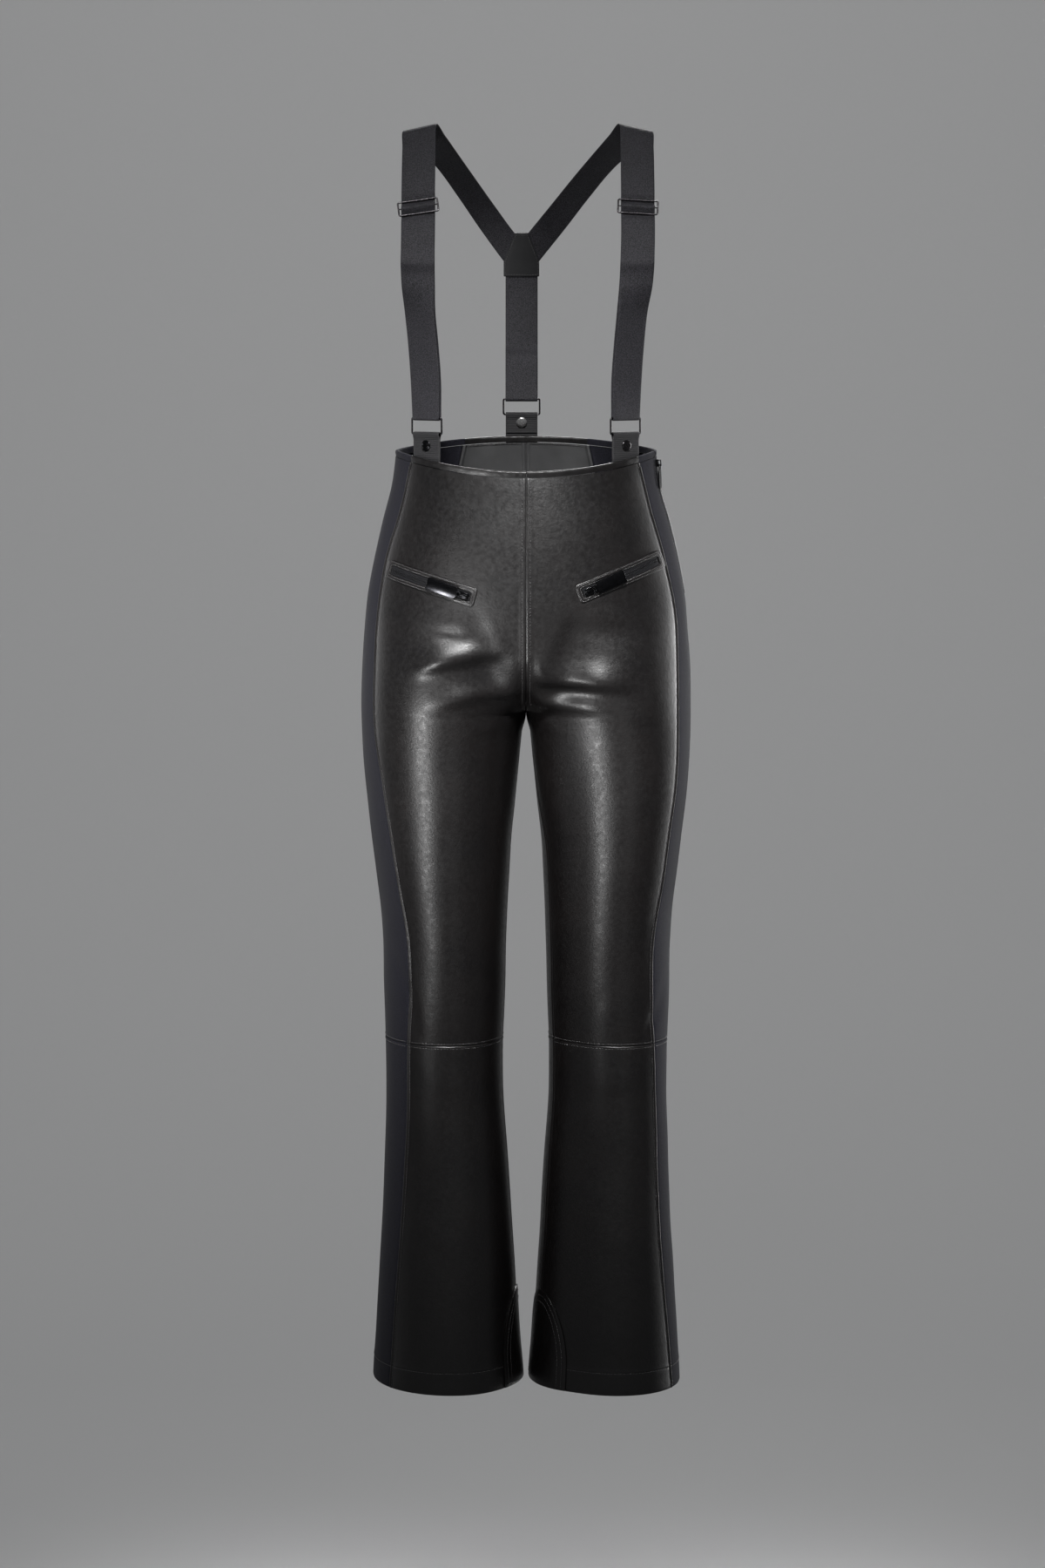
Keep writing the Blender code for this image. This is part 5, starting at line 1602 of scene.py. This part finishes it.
def looped_ribbon(name, track, places, return_places, facing, sway, node, is_end_outside=False):
    """An elastic that comes down its track, round a ring's bar and back up behind itself."""
    path = []
    for place in places:
        middle, half, run, out = ribbon_frame(track, place, facing)
        path.append((middle + out * sway(place), half, -out if is_end_outside else out))
    middle, half, run, out = ribbon_frame(track, RIBBON_END, facing)
    bar = middle - out * LOOP_RADIUS - run * 2.5
    turn = np.radians(np.linspace(0, 180, 13))
    for angle in turn[::-1] if is_end_outside else turn:
        away = out * math.cos(angle) - run * math.sin(angle)
        path.append((bar + away * LOOP_RADIUS, half, away))
    for place in return_places:
        middle, half_here, _, out = ribbon_frame(track, place, facing)
        if is_end_outside:
            path.append((middle, half_here, out))
        else:
            path.append((middle - out * LOOP_RADIUS * 2, half_here, -out))
    made, width, length = ribbon(name, path, ELASTIC_THICK, elastic_weave, node)
    return bar, half


print("ribbons of elastic", ELASTIC_THICK, "mm thick")

# %% [markdown]
# ## Wire rings, adjusters and studs
# A wire ring is a rectangle of round wire: a plane with rounded corners loses its face, and
# what is left becomes a curve with a round section. The adjuster is the same with a bar
# across its middle. A press stud is a low cylinder whose top is inset and sunk in steps.

# %% Wire fittings and studs


def wire_frame(name, size, thickness, corner):
    plane = start_plate(name, (0, 0, 0), size)
    round_corners(plane, lambda at: True, corner, 6)
    bpy.ops.mesh.select_all(action="SELECT")
    bpy.ops.mesh.delete(type="ONLY_FACE")
    leave_edit()
    bpy.ops.object.convert(target="CURVE")
    wire = bpy.context.object
    wire.data.bevel_depth = thickness * MM
    wire.data.bevel_resolution = 4
    bpy.ops.object.convert(target="MESH")
    bpy.ops.object.shade_smooth()
    return bpy.context.object


def start_cylinder(name, vertices, radius, depth, **at):
    return start_piece(name, bpy.ops.mesh.primitive_cylinder_add, vertices=vertices,
                       radius=radius * MM, depth=depth * MM, **at)


def model_adjuster(width, height):
    outer = wire_frame("adjuster", (width - 1.9, height - 1.9), WIRE_RADIUS - 0.1, 1.8)
    bar = start_cylinder("bar", 20, 0.7, width - 2.2, rotation=(0, math.pi / 2, 0))
    soften(bar, 0.2, 2, 60)
    return pattern(join(outer, bar), gunmetal)


def model_stud(name, *steps):
    """A stud's cap, whose top is inset by a thickness and lifted by a rise at each step."""
    cap = start_cylinder(name, 48, STUD_RADIUS, 1.0, location=(0, 0, 0.5 * MM))
    edit_faces(cap, lambda at, normal: normal.z > 0.9)
    for thickness, rise in ((0.5, 0.35), (1.0, 0.25), *steps):
        bpy.ops.mesh.inset(thickness=thickness * MM)
        bpy.ops.transform.translate(value=(0, 0, rise * MM))
    leave_edit()
    soften(cap, 0.12, 2, 25)
    return pattern(cap, silver)


ring_pattern = pattern(wire_frame("ring", RING_SIZE, WIRE_RADIUS, 2.0), gunmetal)
adjuster_pattern = model_adjuster(*ADJUSTER_SIZE)
ringed_stud = model_stud("ringed_stud", (0.3, -0.3), (0.5, 0.0), (0.3, 0.28), (1.2, 0.1))
plain_stud = model_stud("plain_stud", (1.6, 0.12), (1.4, 0.03))
TAB_THICK = 1.3
TAB_HALF = 18.0
TAB_LOOP = WIRE_RADIUS + 0.45 + TAB_THICK / 2
TAB_LAYERS = TAB_THICK + 0.3
TAB_CLOSES = 7.0
TAB_LEAN_FROM = 30.0
STUD_CLEAR = 0.2


def hang_ring(which, bar, half):
    """A wire ring that hangs from its upper bar. Returns the middle of its lower bar."""
    across = unit(half)
    up = np.array([0.0, 0.0, 1.0])
    place = place_at(bar - up * RING_SIZE[1] / 2, across, np.cross(across, up))
    fit(ring_pattern, f"wire_ring_{which}", place, gunmetal, [f"ring_{which}"])
    return bar - up * RING_SIZE[1]


def tab_offset(drop, sign, lean):
    """How far a layer of a tab stands out from the bar's line, this far below the bar."""
    close = smoothstep(drop / TAB_CLOSES)
    apart = TAB_LOOP + (TAB_LAYERS / 2 - TAB_LOOP) * close
    return sign * apart + lean * np.maximum(drop - TAB_LEAN_FROM, 0)


def hanging_tab(which, bar, across, out, outer_end, inner_end, lean):
    """Webbing from its outer end up round a ring's lower bar and down to its inner end."""
    path = []
    for end, sign in ((outer_end, 1), (inner_end, -1)):
        total = bar[2] - end
        drops = np.concatenate([np.arange(0, 9, 0.8), np.arange(10, total - 1, 2.0), [total]])
        for drop in drops[drops <= total][::-sign]:
            offset = tab_offset(drop, sign, lean)
            path.append((bar + out * offset - (0, 0, drop), across * TAB_HALF, out * sign))
        if sign == 1:
            for angle in np.radians(np.arange(15, 180, 15)):
                away = out * math.cos(angle) + np.array([0, 0, math.sin(angle)])
                path.append((bar + away * TAB_LOOP, across * TAB_HALF, away))
    made, _, length = ribbon(f"webbing_tab_{which}", path, TAB_THICK, tab_weave, f"tab_{which}")


def stud_on_tab(which, bar, out, height, sign, original, finish):
    """A press stud that rests on one layer of a tab."""
    ends = []
    lift = sign * (TAB_THICK / 2 + STUD_CLEAR)
    for reach in (STUD_RADIUS, -STUD_RADIUS):
        offset = tab_offset(bar[2] - height - reach, sign, 0.0) + lift
        ends.append(np.array([bar[0], bar[1], height + reach]) + out * offset)
    down = ends[1] - ends[0]
    normal = out * sign - down * np.dot(out * sign, down) / np.dot(down, down)
    place = place_at((ends[0] + ends[1]) / 2, down, normal)
    fit(original, f"press_stud_{which}", place, finish, [f"stud_{which}"])


print("ring", RING_SIZE, "mm, adjuster", ADJUSTER_SIZE, "mm")

# %% Shoulder elastics, front rings and tabs
FRONT_TAB_ENDS = (-16.0, -44.0)
FRONT_STUD_HEIGHT = 6.3
bar_gap = ADJUSTER_SIZE[1] / 2 - 1.05
sway_most = WIRE_RADIUS + 0.55 + ELASTIC_THICK / 2


def sway_over(slide, bend):
    """The elastic bulges over the middle bar, dips under the outer ones and has a soft bend."""

    def sway(place):
        if place < bend + BEND_REACH * 3:
            return BEND_OUT * math.exp(-(((place - bend) / BEND_REACH) ** 2))
        away = abs(place - slide)
        if away < bar_gap:
            return sway_most * math.cos(math.pi * away / bar_gap)
        return -sway_most * float(smoothstep((2 * bar_gap + 1 - away) / (bar_gap + 1)))

    return sway


for side, which in SIDES:
    rows = []
    for number, (x, y, z, outer_x, outer_y, outer_z, shift) in enumerate(SHOULDER_ELASTIC):
        tilt = ADJUSTER_TILT[side] * TILT_SHARE.get(number, 0.0)
        inner = (side * x + shift, y, z + tilt)
        rows.append((*inner, side * outer_x + shift, outer_y, outer_z - tilt))
    track, lengths = edges_track(rows)
    slide = lengths[ADJUSTER_ROW]
    places = np.arange(RIBBON_END, lengths[-1] - RIBBON_END, RIBBON_STEP)
    close_by = slide + np.arange(-17, 17.5, 1.0)
    places = sorted({*places[np.abs(places - slide) > 18], *close_by}, reverse=True)
    back_up = np.arange(9, slide + 9, RIBBON_STEP * 1.5)
    node = f"elastic_{which}"
    sway = sway_over(slide, lengths[BEND_ROW] + BEND_PAST)
    bar, half = looped_ribbon("shoulder_" + node, track, places, back_up, side, sway, node)
    low_bar = hang_ring(which, bar, half)
    across = unit(half)
    out = np.cross(across, np.array([0.0, 0.0, 1.0]))
    out = out * -np.sign(out[1])
    hanging_tab(which, low_bar, across, out, *FRONT_TAB_ENDS, 0.0)
    stud = (ringed_stud, black_metal) if side == RIGHT else (plain_stud, gunmetal)
    stud_on_tab(which, low_bar, out, FRONT_STUD_HEIGHT, 1, *stud)
    middle, half, _, out = ribbon_frame(track, slide, side)
    fit(adjuster_pattern, f"wire_adjuster_{which}", place_at(middle, half, out), gunmetal,
        [f"adjuster_{which}"])
print("adjusters", round(float(slide)), "mm up the elastics")

# %% Back elastic, ring and tab
BACK_TAB_ENDS = (-34.0, 15.5)
BACK_STUD_HEIGHT = 26.8
BACK_TAB_LEAN = 0.085
left, right = BACK_MIDDLE - BACK_ELASTIC_HALF, BACK_MIDDLE + BACK_ELASTIC_HALF
rows = [(left, depth, height, right, depth, height) for depth, height in BACK_ELASTIC]
track, lengths = edges_track(rows)
places = np.arange(RIBBON_END, lengths[-1] - RIBBON_END, RIBBON_STEP)[::-1]
back_up = np.arange(9, BACK_RETURN, RIBBON_STEP)


def in_front_of_end(place):
    """The elastic passes in front of its sewn-down end."""
    return -2 * LOOP_RADIUS * float(smoothstep((BACK_RETURN + 14 - place) / 12))


bar, half = looped_ribbon("back_elastic", track, places, back_up, -1, in_front_of_end,
                          "elastic_back", is_end_outside=True)
low_bar = hang_ring("back", bar, half)
across, out = np.array([1.0, 0.0, 0.0]), np.array([0.0, 1.0, 0.0])
hanging_tab("back", low_bar, across, out, *BACK_TAB_ENDS, BACK_TAB_LEAN)
stud_on_tab("back", low_bar, out, BACK_STUD_HEIGHT, -1, plain_stud, silver)
print("back elastic", round(float(lengths[-1])), "mm long")

# %% [markdown]
# ## Yoke
# The three elastics meet between two leather patches with five sides, sewn all round. Each
# patch is an outline filled with a slightly domed face, with a soft cut edge. The outer
# patch faces the back, and the inner one faces the wearer's own back.

# %% Yoke
YOKE_TOP, YOKE_SHOULDER, YOKE_BOTTOM = 240.3, 208.5, 191.5
YOKE_HALF_TOP, YOKE_HALF = 7.5, 20.3
YOKE_THICK = 1.2
YOKE_CLEAR = 0.6
YOKE_FRONT = 127.0
YOKE_LEAN = 0.15
PATCH_RINGS = ((1.0, -0.5), (1.0, 0.18), (0.985, 0.42), (0.955, 0.5), (0.90, 0.42), (0.86, 0.5),
               (0.6, 0.56), (0.3, 0.6), (0.08, 0.6))


def along_outline(corners, step):
    points = []
    for start, end in zip(corners, corners[1:] + corners[:1]):
        start, end = np.array(start, float), np.array(end, float)
        count = max(int(np.hypot(*(end - start)) / step), 1)
        points += [start + (end - start) * i / count for i in range(count)]
    return np.array(points)


lean = np.array([0.0, -YOKE_LEAN, 1.0]) / math.hypot(1, YOKE_LEAN)
yoke_out = np.cross(np.array([1.0, 0.0, 0.0]), lean) * -1
height = (YOKE_TOP - YOKE_BOTTOM) * math.hypot(1, YOKE_LEAN)
shoulder = height * (YOKE_SHOULDER - YOKE_BOTTOM) / (YOKE_TOP - YOKE_BOTTOM)
right_edge = [(YOKE_HALF - 0.8, 0), (YOKE_HALF, 0.8), (YOKE_HALF, shoulder - 1),
              (YOKE_HALF - 0.4, shoulder + 1), (YOKE_HALF_TOP, height)]
outline = along_outline(right_edge + [(-x, y) for x, y in right_edge[::-1]], 2.0)
foot = np.array([BACK_MIDDLE - 0.2, YOKE_FRONT + (YOKE_TOP - YOKE_BOTTOM) * YOKE_LEAN, YOKE_BOTTOM])
centre = np.array([0.0, height * 0.46])
away = ELASTIC_THICK / 2 + YOKE_CLEAR + YOKE_THICK / 2


def on_yoke(points, share, rise, out):
    """Points of the outline, drawn in to a share and raised, on the patch on one side."""
    flat = centre + (points - centre) * share
    return foot + out * (away + rise * YOKE_THICK) + flat[:, :1] * (1, 0, 0) + flat[:, 1:] * lean


for which, out in (("inner", -yoke_out), ("outer", yoke_out)):
    sections = [on_yoke(outline, share, rise, out) for share, rise in PATCH_RINGS]
    node = f"yoke_{which}"
    made = tube("patch_" + node, np.array(sections), yoke_hide, [node])
    line = on_yoke(np.concatenate([outline, outline[:1]]), 0.9, 0.42, out)
    sew(f"stitches_yoke_{which}", [(line, np.repeat(out[None], len(line), axis=0))], 3.0)
print("yoke", round(2 * YOKE_HALF), "by", round(float(height)), "mm")

# %% [markdown]
# ## Last steps
# The fittings that were copied from are removed, and the triangles of the shown pieces are counted.

# %% Finish
for made in PATTERNS:
    bpy.data.objects.remove(made)
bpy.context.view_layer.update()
meshes = [piece.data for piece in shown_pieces() if piece.type == "MESH"]
print("triangles:", sum(len(face.vertices) - 2 for mesh in meshes for face in mesh.polygons))
